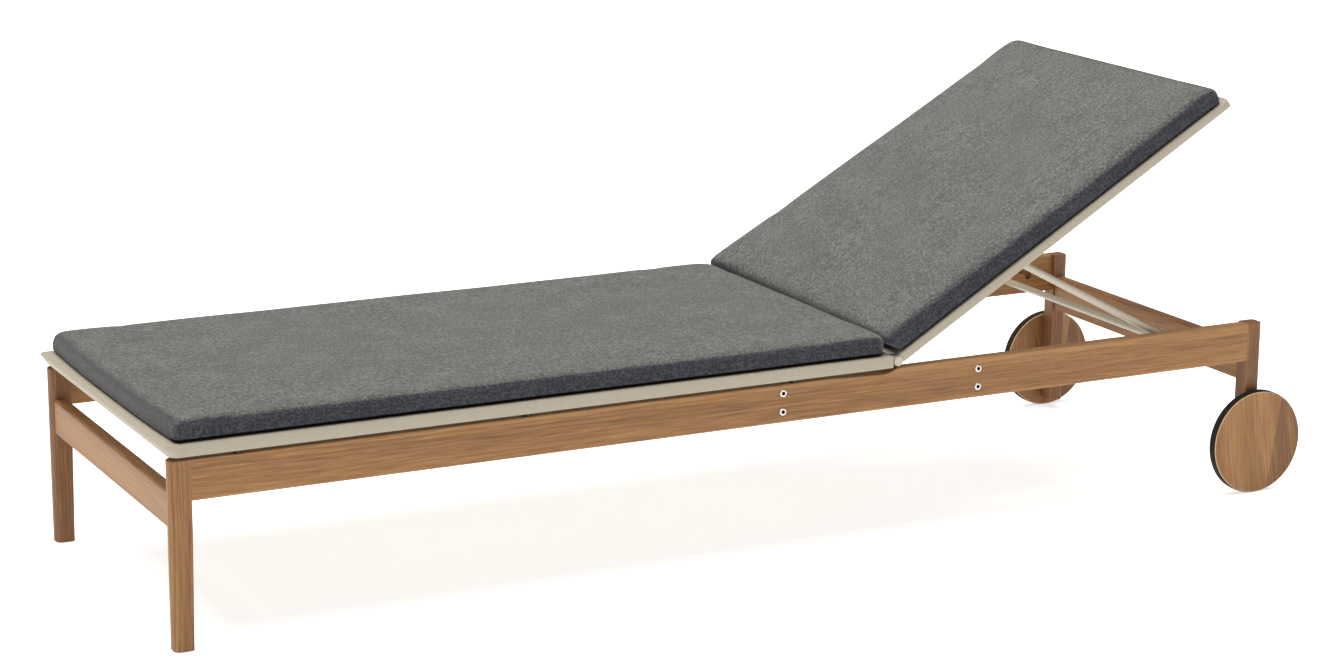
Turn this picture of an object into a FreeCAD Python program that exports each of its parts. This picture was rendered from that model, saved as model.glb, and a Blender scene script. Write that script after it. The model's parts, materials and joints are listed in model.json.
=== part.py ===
import FreeCAD, Part
import math
import os
import re
import Sketcher

# A reclining sun lounger. X runs from the foot to the head, Z is up, and the origin is at the middle of
# its length and width, on the ground. "right" is the +Y side. Sizes are millimetres, angles are degrees.

Vector = FreeCAD.Vector
doc = FreeCAD.newDocument("SunLounger")

drivingSizes = {
    # wooden frame
    "legSpan": 1890,  # between the foot legs and the head legs
    "frameWidth": 620,
    "railTop": 296,
    "railHeight": 67,
    "railThickness": 20,
    "railRound": 5,
    "edgeBevel": 1.2,
    "scallopStep": 2,  # from the hinge on to where the rail's top is full height again
    "seatDrop": 4,  # how much lower the rail's top is under the seat
    "scallopDepth": 4,
    "scallopFoot": 134,  # from the hinge back to where the scallop starts
    "scallopLow": 23,
    "scallopRound": 30,
    "legWidth": 28,
    "footLegDepth": 33,
    "footLegRound": 12,
    "headLegDepth": 30,
    "headLegRound": 8,
    "legTaper": 3,
    "footBevel": 2,
    "headLegLift": 15,  # the head legs end above the ground
    "footCrossrailTop": 241,
    "footCrossrailHeight": 55,
    "footCrossrailSetback": 6,
    "headCrossrailTop": 255,
    "headCrossrailHeight": 62,
    "headCrossrailSetback": 3,
    "crossrailThickness": 22,
    "crossrailRound": 5,
    "tenonLength": 16,
    "tenonThickness": 10,
    "tenonShoulder": 8,
    "crossTenonLength": 12,
    "woodGap": 0.1,
    # sling frames of the seat and the back
    "noseOverhang": 45,
    "noseRake": 14,
    "backNoseRake": -3,  # leans the other way
    "barWidth": 19,
    "barHeight": 20,
    "backBarHeight": 15,
    "shadowGap": 4.5,  # between the seat's bars and the rails
    "clothThickness": 1,
    "clothGap": 0.3,
    "cornerRound": 12,
    "tubeWall": 1.5,
    "hingeReach": 1194,  # from the foot legs to the hinge
    "hingeClear": 8.5,  # from the hinge's axis to the ends of the slings
    "backLength": 740,
    "restAngle": 30.6,
    "screwInset": 75,
    "screwSpacing": 465,
    "screwRadius": 2,
    "screwHeadRadius": 4,
    "screwHeadHeight": 2.5,
    "screwDepth": 25,
    "spacerRadius": 7,
    # hinge
    "plateThickness": 4,
    "plateHeight": 54,
    "plateDrop": 6,
    "plateRound": 8,
    "plateFootReach": 234,
    "plateHeadReach": 173,
    "earRadius": 7.5,
    "earNeckRound": 6,
    "boltFootReach": 212.5,
    "boltHeadReach": 152,
    "boltTopDrop": 17.8,
    "boltSpacing": 30.4,
    "boltRadius": 3,
    "boltHeadRadius": 6,
    "boltHeadHeight": 1.4,
    "boltSpare": 2,
    "nutRadius": 5.8,
    "nutHeight": 4,
    "pinRadius": 4,
    "pinHeadRadius": 7,
    "pinEnd": 2,
    "bushWall": 1.5,
    "bushFlangeRadius": 7,
    "bushFlange": 0.6,
    "runningGap": 0.05,
    "fitGap": 0.1,
    # prop and its track
    "armLength": 395,
    "trackReach": 644.38531,  # from the hinge to the lowest notch
    "rodRadius": 6,
    "armInset": 15,
    "armEyeWidth": 10,
    "crossbarDrop": 35.5,
    "crossbarEndGap": 1,
    "pivotBoltRadius": 3,
    "pivotHeadHeight": 4,
    "pivotBoltEnd": 4,  # inside the tube's outer face
    "pivotSpacerGap": 0.3,
    "trackDepth": 8,
    "trackPlay": 0.5,
    "trackRise": 13.5,
    "trackSlack": 0.5,
    "notchTilt": 26,
    "lowAngle": 14,
    "midAngle": 44,
    "highAngle": 54,
    # wheels
    "wheelRadius": 90,
    "wheelThickness": 18,
    "wheelGap": 4,
    "axleSetback": 15,
    "axleRadius": 5,
    "axleHeadRadius": 9,
    "axleHeadHeight": 3,
    "axleReach": 12.5,
    "discInset": 1.5,
    "discChamfer": 1,
    "discFlange": 2,
    "tyreDepth": 10,
    "tyreBevel": 1.5,
    "wheelBushWall": 3,
    "wheelBushLength": 13,
    "wheelEndGap": 0.3,
    # cushions
    "cushionFootInset": 16,
    "cushionHeadInset": 18,
    "cushionSideInset": 3,
    "cushionThickness": 33,
    "backCushionStart": 7,
    "backCushionEnd": 9,
    "backCushionThickness": 32,
    "cushionCorner": 20,
    "cushionBevel": 6,
    "softGap": 0.3,
}

# each place is worked out from the sizes and from the places above it
workedOut = {
    "overallLength": "noseOverhang + legSpan + axleSetback + wheelRadius",
    "footFace": "noseOverhang - overallLength / 2",
    "headFace": "footFace + legSpan",
    "halfWidth": "frameWidth / 2",
    "legInner": "halfWidth - legWidth",
    "railInner": "halfWidth - railThickness",
    "railBottom": "railTop - railHeight",
    "seatRailTop": "railTop - seatDrop",
    "barBottom": "seatRailTop + shadowGap",
    "barMiddle": "barBottom + barHeight / 2",
    "barInner": "halfWidth - barWidth",
    "tubeMargin": "clothThickness + clothGap",
    "rakeSlant": "sqrt(1 + pow(noseRake / barHeight; 2))",
    "backRakeSlant": "sqrt(1 + pow(backNoseRake / backBarHeight; 2))",
    "seatNose": "footFace - noseOverhang",
    "hingeX": "footFace + hingeReach",
    "seatEnd": "hingeX - hingeClear",
    "footRailX": "footFace - footCrossrailSetback - crossrailThickness",
    "headRailX": "headFace + headCrossrailSetback",
    "axleX": "headFace + axleSetback",
    "crossbarZ": "railTop - crossbarDrop",
    "crossbarFall": "barMiddle - crossbarZ",
    "lowReach": "trackReach * cos(lowAngle) - crossbarFall * sin(lowAngle)",
    "lowSquare": "lowReach * lowReach - trackReach * trackReach - crossbarFall * crossbarFall",
    "pivotReach": "lowReach - sqrt(lowSquare + armLength * armLength)",
    "pivotX": "hingeX + pivotReach * cos(restAngle)",
    "pivotZ": "barMiddle + pivotReach * sin(restAngle)",
    "propAngle": "asin((pivotZ - crossbarZ) / armLength)",
    "armMiddle": "railInner - armInset",
    "armRodStart": "2 * pivotBoltRadius + pivotSpacerGap",
    "notchShift": "trackRise * tan(notchTilt)",
    "notchRadius": "rodRadius + trackPlay",
}

sizes = doc.addObject("Spreadsheet::Sheet", "Sizes")
places = doc.addObject("Spreadsheet::Sheet", "Places")
homes = {}


def bound(text):
    """The formula with each size and place named in the sheet that holds it."""
    return re.sub(r"[A-Za-z]\w*", lambda word: homes.get(word.group(), "") + word.group(), text)


def number(text):
    value = places.evalExpression(bound(text))
    return float(getattr(value, "Value", value))


def notchX(angle):
    """Where the crossbar lies in the track when the back stands at this angle."""
    height = f"(pivotReach * sin({angle}) + crossbarFall)"
    return f"hingeX + pivotReach * cos({angle}) + sqrt(armLength * armLength - {height} * {height})"


def fillSheets():
    for row, (name, value) in enumerate(drivingSizes.items(), start=1):
        sizes.set(f"A{row}", name)
        sizes.set(f"B{row}", str(value))
        sizes.setAlias(f"B{row}", name)
        homes[name] = "Sizes."
    doc.recompute()
    for name in ("low", "rest", "mid", "high"):
        workedOut[name + "Notch"] = notchX(name + "Angle")
    for row, (name, formula) in enumerate(workedOut.items(), start=1):
        places.set(f"A{row}", name)
        places.set(f"B{row}", "=" + bound(formula))
        places.setAlias(f"B{row}", name)
        doc.recompute()
        homes[name] = "Places."


fillSheets()

# ---- sketches and features ----


def sketchOn(body, plane, level):
    """A sketch parallel to one of the body's origin planes, at this place along the third axis."""
    sketch = body.newObject("Sketcher::SketchObject", body.Label + "_sketch")
    originPlane = next(item for item in body.Origin.OriginFeatures if item.Role == plane)
    sketch.AttachmentSupport = [(originPlane, "")]
    sketch.MapMode = "FlatFace"
    sign = "-" if plane == "XZ_Plane" else ""
    sketch.setExpression("AttachmentOffset.Base.z", f"{sign}({bound(level)})")
    return sketch


def bind(sketch, kind, value, *targets):
    index = sketch.addConstraint(Sketcher.Constraint(kind, *targets, number(value)))
    sketch.setExpression(f"Constraints[{index}]", bound(value))


def hold(sketch, geometry, point, across, up):
    bind(sketch, "DistanceX", across, -1, 1, geometry, point)
    bind(sketch, "DistanceY", up, -1, 1, geometry, point)


def join(sketch, kind, *targets):
    sketch.addConstraint(Sketcher.Constraint(kind, *targets))


def arcBetween(centre, radius, start, end):
    """The arc that turns anticlockwise from start to end."""
    circle = Part.Circle(centre, Vector(0, 0, 1), radius)
    first, last = ((math.atan2((p - centre).y, (p - centre).x)) for p in (start, end))
    return Part.ArcOfCircle(circle, first, last if last > first else last + 2 * math.pi)


def roundCorner(sketch, corner, before, after, start, end, left):
    """Rounds the corner between two lines with a tangent arc, and keeps the corner as a point."""
    here = Vector(number(corner[0]), number(corner[1]))
    radius = number(corner[2])
    middle = (start - here) + (end - here)
    centre = here + middle.normalize() * math.hypot(radius, (start - here).Length)
    first, last = (start, end) if left else (end, start)
    arc = sketch.addGeometry(arcBetween(centre, radius, first, last))
    point = sketch.addGeometry(Part.Point(here), True)
    hold(sketch, point, 1, corner[0], corner[1])
    join(sketch, "PointOnObject", point, 1, before)
    join(sketch, "PointOnObject", point, 1, after)
    join(sketch, "Tangent", before, 2, arc, 1 if left else 2)
    join(sketch, "Tangent", after, 1, arc, 2 if left else 1)
    bind(sketch, "Radius", corner[2], arc)


def drawOutline(sketch, corners):
    """Draws a closed outline. A corner is (across, up) or (across, up, radius) and runs anticlockwise."""
    points = [Vector(number(corner[0]), number(corner[1])) for corner in corners]
    count = len(points)
    starts = []
    ends = []
    lefts = []
    for index, here in enumerate(points):
        back = (points[index - 1] - here).normalize()
        ahead = (points[(index + 1) % count] - here).normalize()
        radius = number(corners[index][2]) if len(corners[index]) > 2 else 0
        setback = radius / math.tan(back.getAngle(ahead) / 2)
        starts.append(here + back * setback)
        ends.append(here + ahead * setback)
        lefts.append(ahead.cross(back).z > 0)
    lines = []
    for index in range(count):
        lines.append(sketch.addGeometry(Part.LineSegment(ends[index], starts[(index + 1) % count])))
    for index, corner in enumerate(corners):
        before = lines[index - 1]
        after = lines[index]
        if len(corner) > 2:
            roundCorner(sketch, corner, before, after, starts[index], ends[index], lefts[index])
        else:
            join(sketch, "Coincident", before, 2, after, 1)
            hold(sketch, after, 1, *corner)


def outline(body, plane, level, corners):
    sketch = sketchOn(body, plane, level)
    drawOutline(sketch, corners)
    return sketch


def box(body, plane, level, left, right, low, high):
    """A rectangle sketch."""
    return outline(body, plane, level, [(left, low), (right, low), (right, high), (left, high)])


def circles(body, plane, level, centres, radius):
    sketch = sketchOn(body, plane, level)
    for across, up in centres:
        centre = Vector(number(across), number(up))
        index = sketch.addGeometry(Part.Circle(centre, Vector(0, 0, 1), number(radius)))
        hold(sketch, index, 3, across, up)
        bind(sketch, "Radius", radius, index)
    return sketch


def slot(body, plane, level, start, end, radius):
    """A sketch of a round-ended slot between two centres."""
    sketch = sketchOn(body, plane, level)
    first = Vector(number(start[0]), number(start[1]))
    last = Vector(number(end[0]), number(end[1]))
    size = number(radius)
    along = (last - first).normalize()
    side = Vector(-along.y, along.x) * size
    near = sketch.addGeometry(arcBetween(first, size, first + side, first - side))
    far = sketch.addGeometry(arcBetween(last, size, last - side, last + side))
    low = sketch.addGeometry(Part.LineSegment(first - side, last - side))
    high = sketch.addGeometry(Part.LineSegment(last + side, first + side))
    hold(sketch, near, 3, *start)
    hold(sketch, far, 3, *end)
    join(sketch, "Tangent", near, 2, low, 1)
    join(sketch, "Tangent", low, 2, far, 1)
    join(sketch, "Tangent", far, 2, high, 1)
    join(sketch, "Tangent", high, 2, near, 1)
    bind(sketch, "Radius", radius, near)
    return sketch


def newBody(label):
    body = doc.addObject("PartDesign::Body", label)
    body.Label = label
    return body


def isAcross(sketch):
    """Whether the sketch lies in the plane whose normal points to -Y."""
    return sketch.AttachmentSupport[0][0].Role == "XZ_Plane"


def pad(body, sketch, length):
    """Adds material from the sketch towards the positive end of its third axis."""
    feature = body.newObject("PartDesign::Pad", body.Label + "_pad")
    feature.Profile = sketch
    feature.Reversed = isAcross(sketch)
    feature.setExpression("Length", bound(length))
    doc.recompute()
    return feature


def pocket(body, sketch, depth):
    """Cuts from the sketch towards the positive end of its third axis."""
    before = body.Shape.Volume
    feature = body.newObject("PartDesign::Pocket", body.Label + "_pocket")
    feature.Profile = sketch
    feature.Reversed = not isAcross(sketch)
    feature.setExpression("Length", bound(depth))
    doc.recompute()
    if body.Shape.Volume > before - 0.01:
        raise RuntimeError(f"{feature.Name} cuts nothing")
    return feature


def revolve(body, sketch):
    feature = body.newObject("PartDesign::Revolution", body.Label + "_revolution")
    feature.Profile = sketch
    feature.ReferenceAxis = (sketch, ["H_Axis"])
    feature.Angle = 360
    doc.recompute()
    return feature


def loft(body, first, last):
    feature = body.newObject("PartDesign::AdditiveLoft", body.Label + "_loft")
    feature.Profile = first
    feature.Sections = [last]
    feature.Ruled = True
    doc.recompute()
    return feature


def edgesAt(shape, spots):
    """The names of the edges that pass through these spots."""
    vertices = [Part.Vertex(Vector(*(number(value) for value in spot))) for spot in spots]
    names = []
    for index, edge in enumerate(shape.Edges, start=1):
        if any(edge.distToShape(vertex)[0] < 0.01 for vertex in vertices):
            names.append(f"Edge{index}")
    return names


def roundEdges(body, spots, radius):
    """Rounds each edge of the body that passes through one of the spots."""
    tip = body.Tip
    feature = body.newObject("PartDesign::Fillet", body.Label + "_fillet")
    feature.Base = (tip, edgesAt(tip.Shape, spots))
    feature.setExpression("Radius", bound(radius))
    doc.recompute()
    return feature


def bevelEdges(body, spots, size):
    """Bevels each edge of the body that passes through one of the spots."""
    tip = body.Tip
    feature = body.newObject("PartDesign::Chamfer", body.Label + "_chamfer")
    feature.Base = (tip, edgesAt(tip.Shape, spots))
    feature.setExpression("Size", bound(size))
    doc.recompute()
    return feature


pieces = {}


def keep(item):
    pieces[item.Label] = item


def keepPair(item):
    """Keeps a right-hand piece and its mirror image on the left."""
    keep(item)
    label = item.Label.replace("_right", "_left")
    other = doc.addObject("Part::Mirroring", label)
    other.Label = label
    other.Source = item
    other.Base = Vector(0, 0, 0)
    other.Normal = Vector(0, 1, 0)
    doc.recompute()
    keep(other)


def standOnBack(body):
    """Tilts a piece drawn with the hinge as its origin up to the back's resting angle."""
    body.Placement = FreeCAD.Placement(Vector(0, 0, 0), FreeCAD.Rotation(Vector(0, -1, 0), 30))
    body.setExpression("Placement.Base.x", bound("hingeX"))
    body.setExpression("Placement.Base.z", bound("barMiddle"))
    body.setExpression("Placement.Rotation.Angle", bound("restAngle * 1 deg"))


def hangOnProp(body):
    """Turns a piece drawn along X from the prop's pivot down to where the prop stands at rest."""
    body.Placement = FreeCAD.Placement(Vector(0, 0, 0), FreeCAD.Rotation(Vector(0, 1, 0), 30))
    body.setExpression("Placement.Base.x", bound("pivotX"))
    body.setExpression("Placement.Base.z", bound("pivotZ"))
    body.setExpression("Placement.Rotation.Angle", bound("propAngle"))


# ---- wooden frame ----

boltSpots = []
for boltX in ("hingeX - boltFootReach", "hingeX + boltHeadReach"):
    boltSpots.append((boltX, "railTop - boltTopDrop"))
    boltSpots.append((boltX, "railTop - boltTopDrop - boltSpacing"))

screwSpots = []
for screwIndex in range(3):
    screwX = f"footFace + screwInset + {screwIndex} * screwSpacing"
    screwSpots.append((screwX, "halfWidth - barWidth / 2"))

tenonLow = "halfWidth - railThickness / 2 - tenonThickness / 2"
tenonHigh = "halfWidth - railThickness / 2 + tenonThickness / 2"


def railMortise(body, level, top):
    """A mortise that takes a side rail's tenon."""
    low = f"{tenonLow} - woodGap"
    high = f"{tenonHigh} + woodGap"
    bottom = "railBottom + tenonShoulder - woodGap"
    sketch = box(body, "YZ_Plane", level, low, high, bottom, f"{top} - tenonShoulder + woodGap")
    pocket(body, sketch, "tenonLength + woodGap")


def crossMortise(body, start, top, height):
    """A mortise in a leg's inner face that takes a crossrail's tenon."""
    left = f"{start} + crossrailThickness / 2 - tenonThickness / 2 - woodGap"
    right = f"{start} + crossrailThickness / 2 + tenonThickness / 2 + woodGap"
    low = f"{top} - {height} + tenonShoulder - woodGap"
    sketch = box(body, "XZ_Plane", "legInner", left, right, low, f"{top} - tenonShoulder + woodGap")
    pocket(body, sketch, "crossTenonLength + woodGap")


def footLegSection(body, level, taper):
    back = "footFace - footLegDepth"
    front = f"footFace - {taper}"
    corners = [(back, "legInner", "footLegRound"), (front, "legInner")]
    corners += [(front, "halfWidth"), (back, "halfWidth", "footLegRound")]
    return outline(body, "XY_Plane", level, corners)


def footLeg():
    """A leg with a round outer face that narrows towards the ground."""
    body = newBody("foot_leg_right")
    taperTop = "footCrossrailTop - footCrossrailHeight"
    loft(body, footLegSection(body, "0", "legTaper"), footLegSection(body, taperTop, "0"))
    pad(body, footLegSection(body, taperTop, "0"), f"seatRailTop - ({taperTop})")
    middle = "legInner + legWidth / 2"
    spots = [("footFace - legTaper", middle, "0"), ("footFace - footLegDepth", middle, "0")]
    bevelEdges(body, spots, "footBevel")
    bevelEdges(body, [("footFace - footLegDepth", middle, "seatRailTop")], "edgeBevel")
    railMortise(body, "footFace - tenonLength - woodGap", "seatRailTop")
    crossMortise(body, "footRailX", "footCrossrailTop", "footCrossrailHeight")
    return body


def headLeg():
    """A leg that stops above the ground and carries a wheel's axle."""
    body = newBody("head_leg_right")
    back = "headFace + headLegDepth"
    corners = [("headFace", "legInner"), (back, "legInner", "headLegRound")]
    corners += [(back, "halfWidth", "headLegRound"), ("headFace", "halfWidth")]
    pad(body, outline(body, "XY_Plane", "headLegLift", corners), "railTop - headLegLift")
    middle = "legInner + legWidth / 2"
    bevelEdges(body, [("headFace", middle, "headLegLift"), (back, middle, "headLegLift")], "footBevel")
    bevelEdges(body, [(back, middle, "railTop")], "edgeBevel")
    railMortise(body, "headFace", "railTop")
    crossMortise(body, "headRailX", "headCrossrailTop", "headCrossrailHeight")
    hole = circles(body, "XZ_Plane", "legInner", [("axleX", "wheelRadius")], "axleRadius + fitGap")
    pocket(body, hole, "legWidth")
    return body


def sideRail():
    """A rail with a tenon at each end, a scalloped top and the prop's notched track in its inner face."""
    body = newBody("side_rail_right")
    low = "hingeX - scallopLow"
    corners = [("footFace", "railBottom"), ("headFace", "railBottom"), ("headFace", "railTop")]
    corners += [("hingeX + scallopStep", "railTop"), (low, "seatRailTop - scallopDepth", "scallopRound")]
    corners += [("hingeX - scallopFoot", "seatRailTop"), ("footFace", "seatRailTop")]
    pad(body, outline(body, "XZ_Plane", "railInner", corners), "railThickness")
    outer = [("hingeX", "halfWidth", "railBottom")]
    roundEdges(body, outer, "railRound")
    along = ["(footFace + hingeX) / 2", "(hingeX + headFace) / 2"]
    tops = []
    for face in ("railInner", "halfWidth"):
        tops += [(along[0], face, "seatRailTop"), (along[1], face, "railTop")]
    bevelEdges(body, tops, "edgeBevel")
    for level, top in (("footFace - tenonLength", "seatRailTop"), ("headFace", "railTop")):
        bottom = "railBottom + tenonShoulder"
        tenon = box(body, "YZ_Plane", level, tenonLow, tenonHigh, bottom, f"{top} - tenonShoulder")
        pad(body, tenon, "tenonLength")
    pocket(body, circles(body, "XZ_Plane", "railInner", boltSpots, "boltRadius + fitGap"), "railThickness")
    pilots = circles(body, "XY_Plane", "seatRailTop - screwDepth", screwSpots, "screwRadius + fitGap")
    pocket(body, pilots, "screwDepth")
    cutTrack(body)
    return body


def cutTrack(body):
    """A channel for the crossbar's end, with four notches that hold it against the weight on the back.

    Each notch lies where the arm's length puts the crossbar at that angle of the back. It slopes down
    towards the head, so that the push of the arms seats the bar.
    """
    channelZ = "crossbarZ + trackRise"
    start = ("highNotch - notchShift", channelZ)
    end = ("lowNotch - notchShift", channelZ)
    channel = slot(body, "XZ_Plane", "railInner", start, end, "notchRadius + trackSlack")
    pocket(body, channel, "trackDepth")
    for notch in ("lowNotch", "restNotch", "midNotch", "highNotch"):
        mouth = (f"{notch} - notchShift", channelZ)
        groove = slot(body, "XZ_Plane", "railInner", mouth, (notch, "crossbarZ"), "notchRadius")
        pocket(body, groove, "trackDepth")


def crossrail(label, start, top, height):
    """A rail between two legs, with a tenon at each end."""
    body = newBody(label)
    end = f"{start} + crossrailThickness"
    bottom = f"{top} - {height}"
    corners = [(start, bottom), (end, bottom), (end, top, "crossrailRound"), (start, top, "crossrailRound")]
    pad(body, outline(body, "XZ_Plane", "-legInner", corners), "2 * legInner")
    middle = f"{start} + crossrailThickness / 2"
    left = f"{middle} - tenonThickness / 2"
    right = f"{middle} + tenonThickness / 2"
    low = f"{bottom} + tenonShoulder"
    level = "-legInner - crossTenonLength"
    tenon = box(body, "XZ_Plane", level, left, right, low, f"{top} - tenonShoulder")
    pad(body, tenon, "2 * (legInner + crossTenonLength)")
    return body


keepPair(footLeg())
keepPair(headLeg())
keepPair(sideRail())
keep(crossrail("foot_crossrail", "footRailX", "footCrossrailTop", "footCrossrailHeight"))
keep(crossrail("head_crossrail", "headRailX", "headCrossrailTop", "headCrossrailHeight"))

# ---- hinge ----


def hingePlate():
    """A steel strip inside the rail with a round ear that holds the hinge's pin."""
    body = newBody("hinge_plate_right")
    top = "railTop - plateDrop"
    bottom = f"{top} - plateHeight"
    foot = "hingeX - plateFootReach"
    head = "hingeX + plateHeadReach"
    corners = [(foot, bottom, "plateRound"), (head, bottom, "plateRound"), (head, top, "plateRound")]
    corners += [("hingeX + earRadius", top, "earNeckRound"), ("hingeX + earRadius", "barMiddle")]
    corners += [("hingeX - earRadius", "barMiddle"), ("hingeX - earRadius", top, "earNeckRound")]
    corners += [(foot, top, "plateRound")]
    level = "railInner - plateThickness"
    pad(body, outline(body, "XZ_Plane", level, corners), "plateThickness")
    pinSpot = [("hingeX", "barMiddle")]
    pad(body, circles(body, "XZ_Plane", level, pinSpot, "earRadius"), "plateThickness")
    pocket(body, circles(body, "XZ_Plane", level, pinSpot, "pinRadius + fitGap"), "plateThickness")
    pocket(body, circles(body, "XZ_Plane", level, boltSpots, "boltRadius + fitGap"), "plateThickness")
    return body


def railBolts():
    """Four bolts with thin round heads flat on the rail's outer face."""
    body = newBody("rail_bolts_right")
    end = "railInner - plateThickness - nutHeight - boltSpare"
    pad(body, circles(body, "XZ_Plane", end, boltSpots, "boltRadius"), f"halfWidth - ({end})")
    pad(body, circles(body, "XZ_Plane", "halfWidth", boltSpots, "boltHeadRadius"), "boltHeadHeight")
    return body


def railNuts():
    """Four hexagonal nuts on the inner side of the hinge's plate."""
    body = newBody("rail_nuts_right")
    level = "railInner - plateThickness - nutHeight"
    for across, up in boltSpots:
        corners = []
        for corner in range(6):
            turn = 60 * corner
            spot = (f"{across} + nutRadius * cos({turn})", f"{up} + nutRadius * sin({turn})")
            corners.append(spot)
        pad(body, outline(body, "XZ_Plane", level, corners), "nutHeight")
    pocket(body, circles(body, "XZ_Plane", level, boltSpots, "boltRadius + fitGap"), "nutHeight")
    return body


def hingePin():
    """A pin with a flat head inside the plate."""
    body = newBody("hinge_pin_right")
    spot = [("hingeX", "barMiddle")]
    plateInner = "railInner - plateThickness"
    pad(body, circles(body, "XZ_Plane", f"{plateInner} - nutHeight", spot, "pinHeadRadius"), "nutHeight")
    shank = circles(body, "XZ_Plane", plateInner, spot, "pinRadius")
    pad(body, shank, f"halfWidth - pinEnd - ({plateInner})")
    return body


def hingeBush():
    """A flanged bush in the eye of the back's side tube, which turns on the pin."""
    body = newBody("hinge_bush_right")
    bore = "pinRadius + runningGap"
    outer = "pinRadius + bushWall"
    flangeY = "barInner - bushFlange"
    end = "halfWidth - pinEnd + fitGap"
    corners = [(flangeY, bore), (end, bore), (end, outer), ("barInner", outer)]
    corners += [("barInner", "bushFlangeRadius"), (flangeY, "bushFlangeRadius")]
    revolve(body, outline(body, "YZ_Plane", "0", corners))
    standOnBack(body)
    return body


for hingePiece in (hingePlate(), railBolts(), railNuts(), hingePin(), hingeBush()):
    keepPair(hingePiece)

# ---- sling frames ----


class SlingFrame:
    """A rectangular tube frame in a sling whose hems wrap the tubes, with a raked nose at one end."""

    def __init__(self, name, nose, end, middle, direction, height, rake, slant):
        self.name = name
        self.nose = nose
        self.end = end
        self.middle = middle
        self.direction = direction
        self.height = height
        self.rake = rake
        self.slant = slant

    def noseX(self, margin, width, high):
        """Where a line inside the nose bar lies, at its margin from the top or the bottom."""
        share = f"{margin} / {self.height}" if high else f"(1 - {margin} / {self.height})"
        return f"{self.nose} - {self.direction} * ({self.rake} * {share} + {margin} * {self.slant} + {width})"

    def level(self, margin, high):
        sign = "+" if high else "-"
        return f"{self.middle} {sign} ({self.height} / 2 - {margin})"

    def sideOutline(self, margin, end):
        """The frame seen from the side, inset by a margin."""
        low = self.level(margin, False)
        high = self.level(margin, True)
        corners = [(self.noseX(margin, "0", False), low), (end, low)]
        corners += [(end, high), (self.noseX(margin, "0", True), high)]
        return corners if self.direction < 0 else corners[::-1]

    def noseOutline(self, margin):
        """The raked section of the nose bar."""
        width = f"barWidth - 2 * {margin}"
        corners = []
        for inner, high in (("0", False), (width, False), (width, True), ("0", True)):
            corners.append((self.noseX(margin, inner, high), self.level(margin, high)))
        return corners if self.direction < 0 else corners[::-1]

    def endOutline(self, margin):
        """The upright section of the bar beside the hinge."""
        near = f"{self.end} + {self.direction} * {margin}"
        far = f"{self.end} + {self.direction} * (barWidth - {margin})"
        left, right = (far, near) if self.direction < 0 else (near, far)
        low = self.level(margin, False)
        high = self.level(margin, True)
        return [(left, low), (right, low), (right, high), (left, high)]

    def noseCorner(self, margin, side):
        across = f"{self.nose} - {self.direction} * ({self.rake} / 2 + {margin} * {self.slant})"
        return (across, f"{side} * (halfWidth - {margin})", self.middle)

    def sling(self):
        body = newBody(self.name + "_sling")
        whole = outline(body, "XZ_Plane", "-halfWidth", self.sideOutline("0", self.end))
        pad(body, whole, "frameWidth")
        cloth = "clothThickness"
        channelWidth = f"barWidth - 2 * {cloth}"
        for level in (f"barInner + {cloth}", f"{cloth} - halfWidth"):
            side = outline(body, "XZ_Plane", level, self.sideOutline(cloth, self.end))
            pocket(body, side, channelWidth)
        for corners in (self.noseOutline(cloth), self.endOutline(cloth)):
            across = outline(body, "XZ_Plane", f"-barInner - {cloth}", corners)
            pocket(body, across, f"2 * (barInner + {cloth})")
        roundEdges(body, [self.noseCorner(cloth, side) for side in (1, -1)], f"cornerRound - {cloth}")
        roundEdges(body, [self.noseCorner("0", side) for side in (1, -1)], "cornerRound")
        inner = f"{self.end} + {self.direction} * barWidth"
        foot = f"{self.nose} - {self.direction} * ({self.rake} + barWidth * {self.slant})"
        left, right = (foot, inner) if self.direction < 0 else (inner, foot)
        recess = box(body, "XY_Plane", self.level("0", False), left, right, "-barInner", "barInner")
        pocket(body, recess, f"{self.height} - {cloth}")
        return body

    def sideTube(self):
        """A square tube along one side, with a closed, rounded corner at the nose."""
        body = newBody(self.name + "_side_tube_right")
        margin = "tubeMargin"
        sketch = outline(body, "XZ_Plane", f"barInner + {margin}", self.sideOutline(margin, self.end))
        pad(body, sketch, f"barWidth - 2 * {margin}")
        roundEdges(body, [self.noseCorner(margin, 1)], f"cornerRound - {margin}")
        wall = f"({margin} + tubeWall)"
        closed = f"{self.nose} - {self.direction} * ({self.rake} + 2 * cornerRound)"
        start, end = (closed, self.end) if self.direction < 0 else (self.end, closed)
        low = self.level(wall, False)
        high = self.level(wall, True)
        bore = box(body, "YZ_Plane", start, f"barInner + {wall}", f"halfWidth - {wall}", low, high)
        pocket(body, bore, f"{end} - ({start})")
        return body

    def crossTube(self, label, section):
        """A hollow tube between the side tubes."""
        body = newBody(label)
        margin = "tubeMargin"
        level = f"-barInner - {margin}"
        length = f"2 * (barInner + {margin})"
        pad(body, outline(body, "XZ_Plane", level, section(margin)), length)
        pocket(body, outline(body, "XZ_Plane", level, section("(tubeMargin + tubeWall)")), length)
        return body


seatBar = ("barHeight", "noseRake", "rakeSlant")
backBar = ("backBarHeight", "backNoseRake", "backRakeSlant")
seatFrame = SlingFrame("seat", "seatNose", "seatEnd", "barMiddle", -1, *seatBar)
backFrame = SlingFrame("back", "backLength", "hingeClear", "0", 1, *backBar)


def drillForScrews(body, level, depth, radius):
    """Holes for the seat's screws on both sides of the piece, or on its right."""
    pocket(body, circles(body, "XY_Plane", level, screwSpots, radius), depth)


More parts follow.
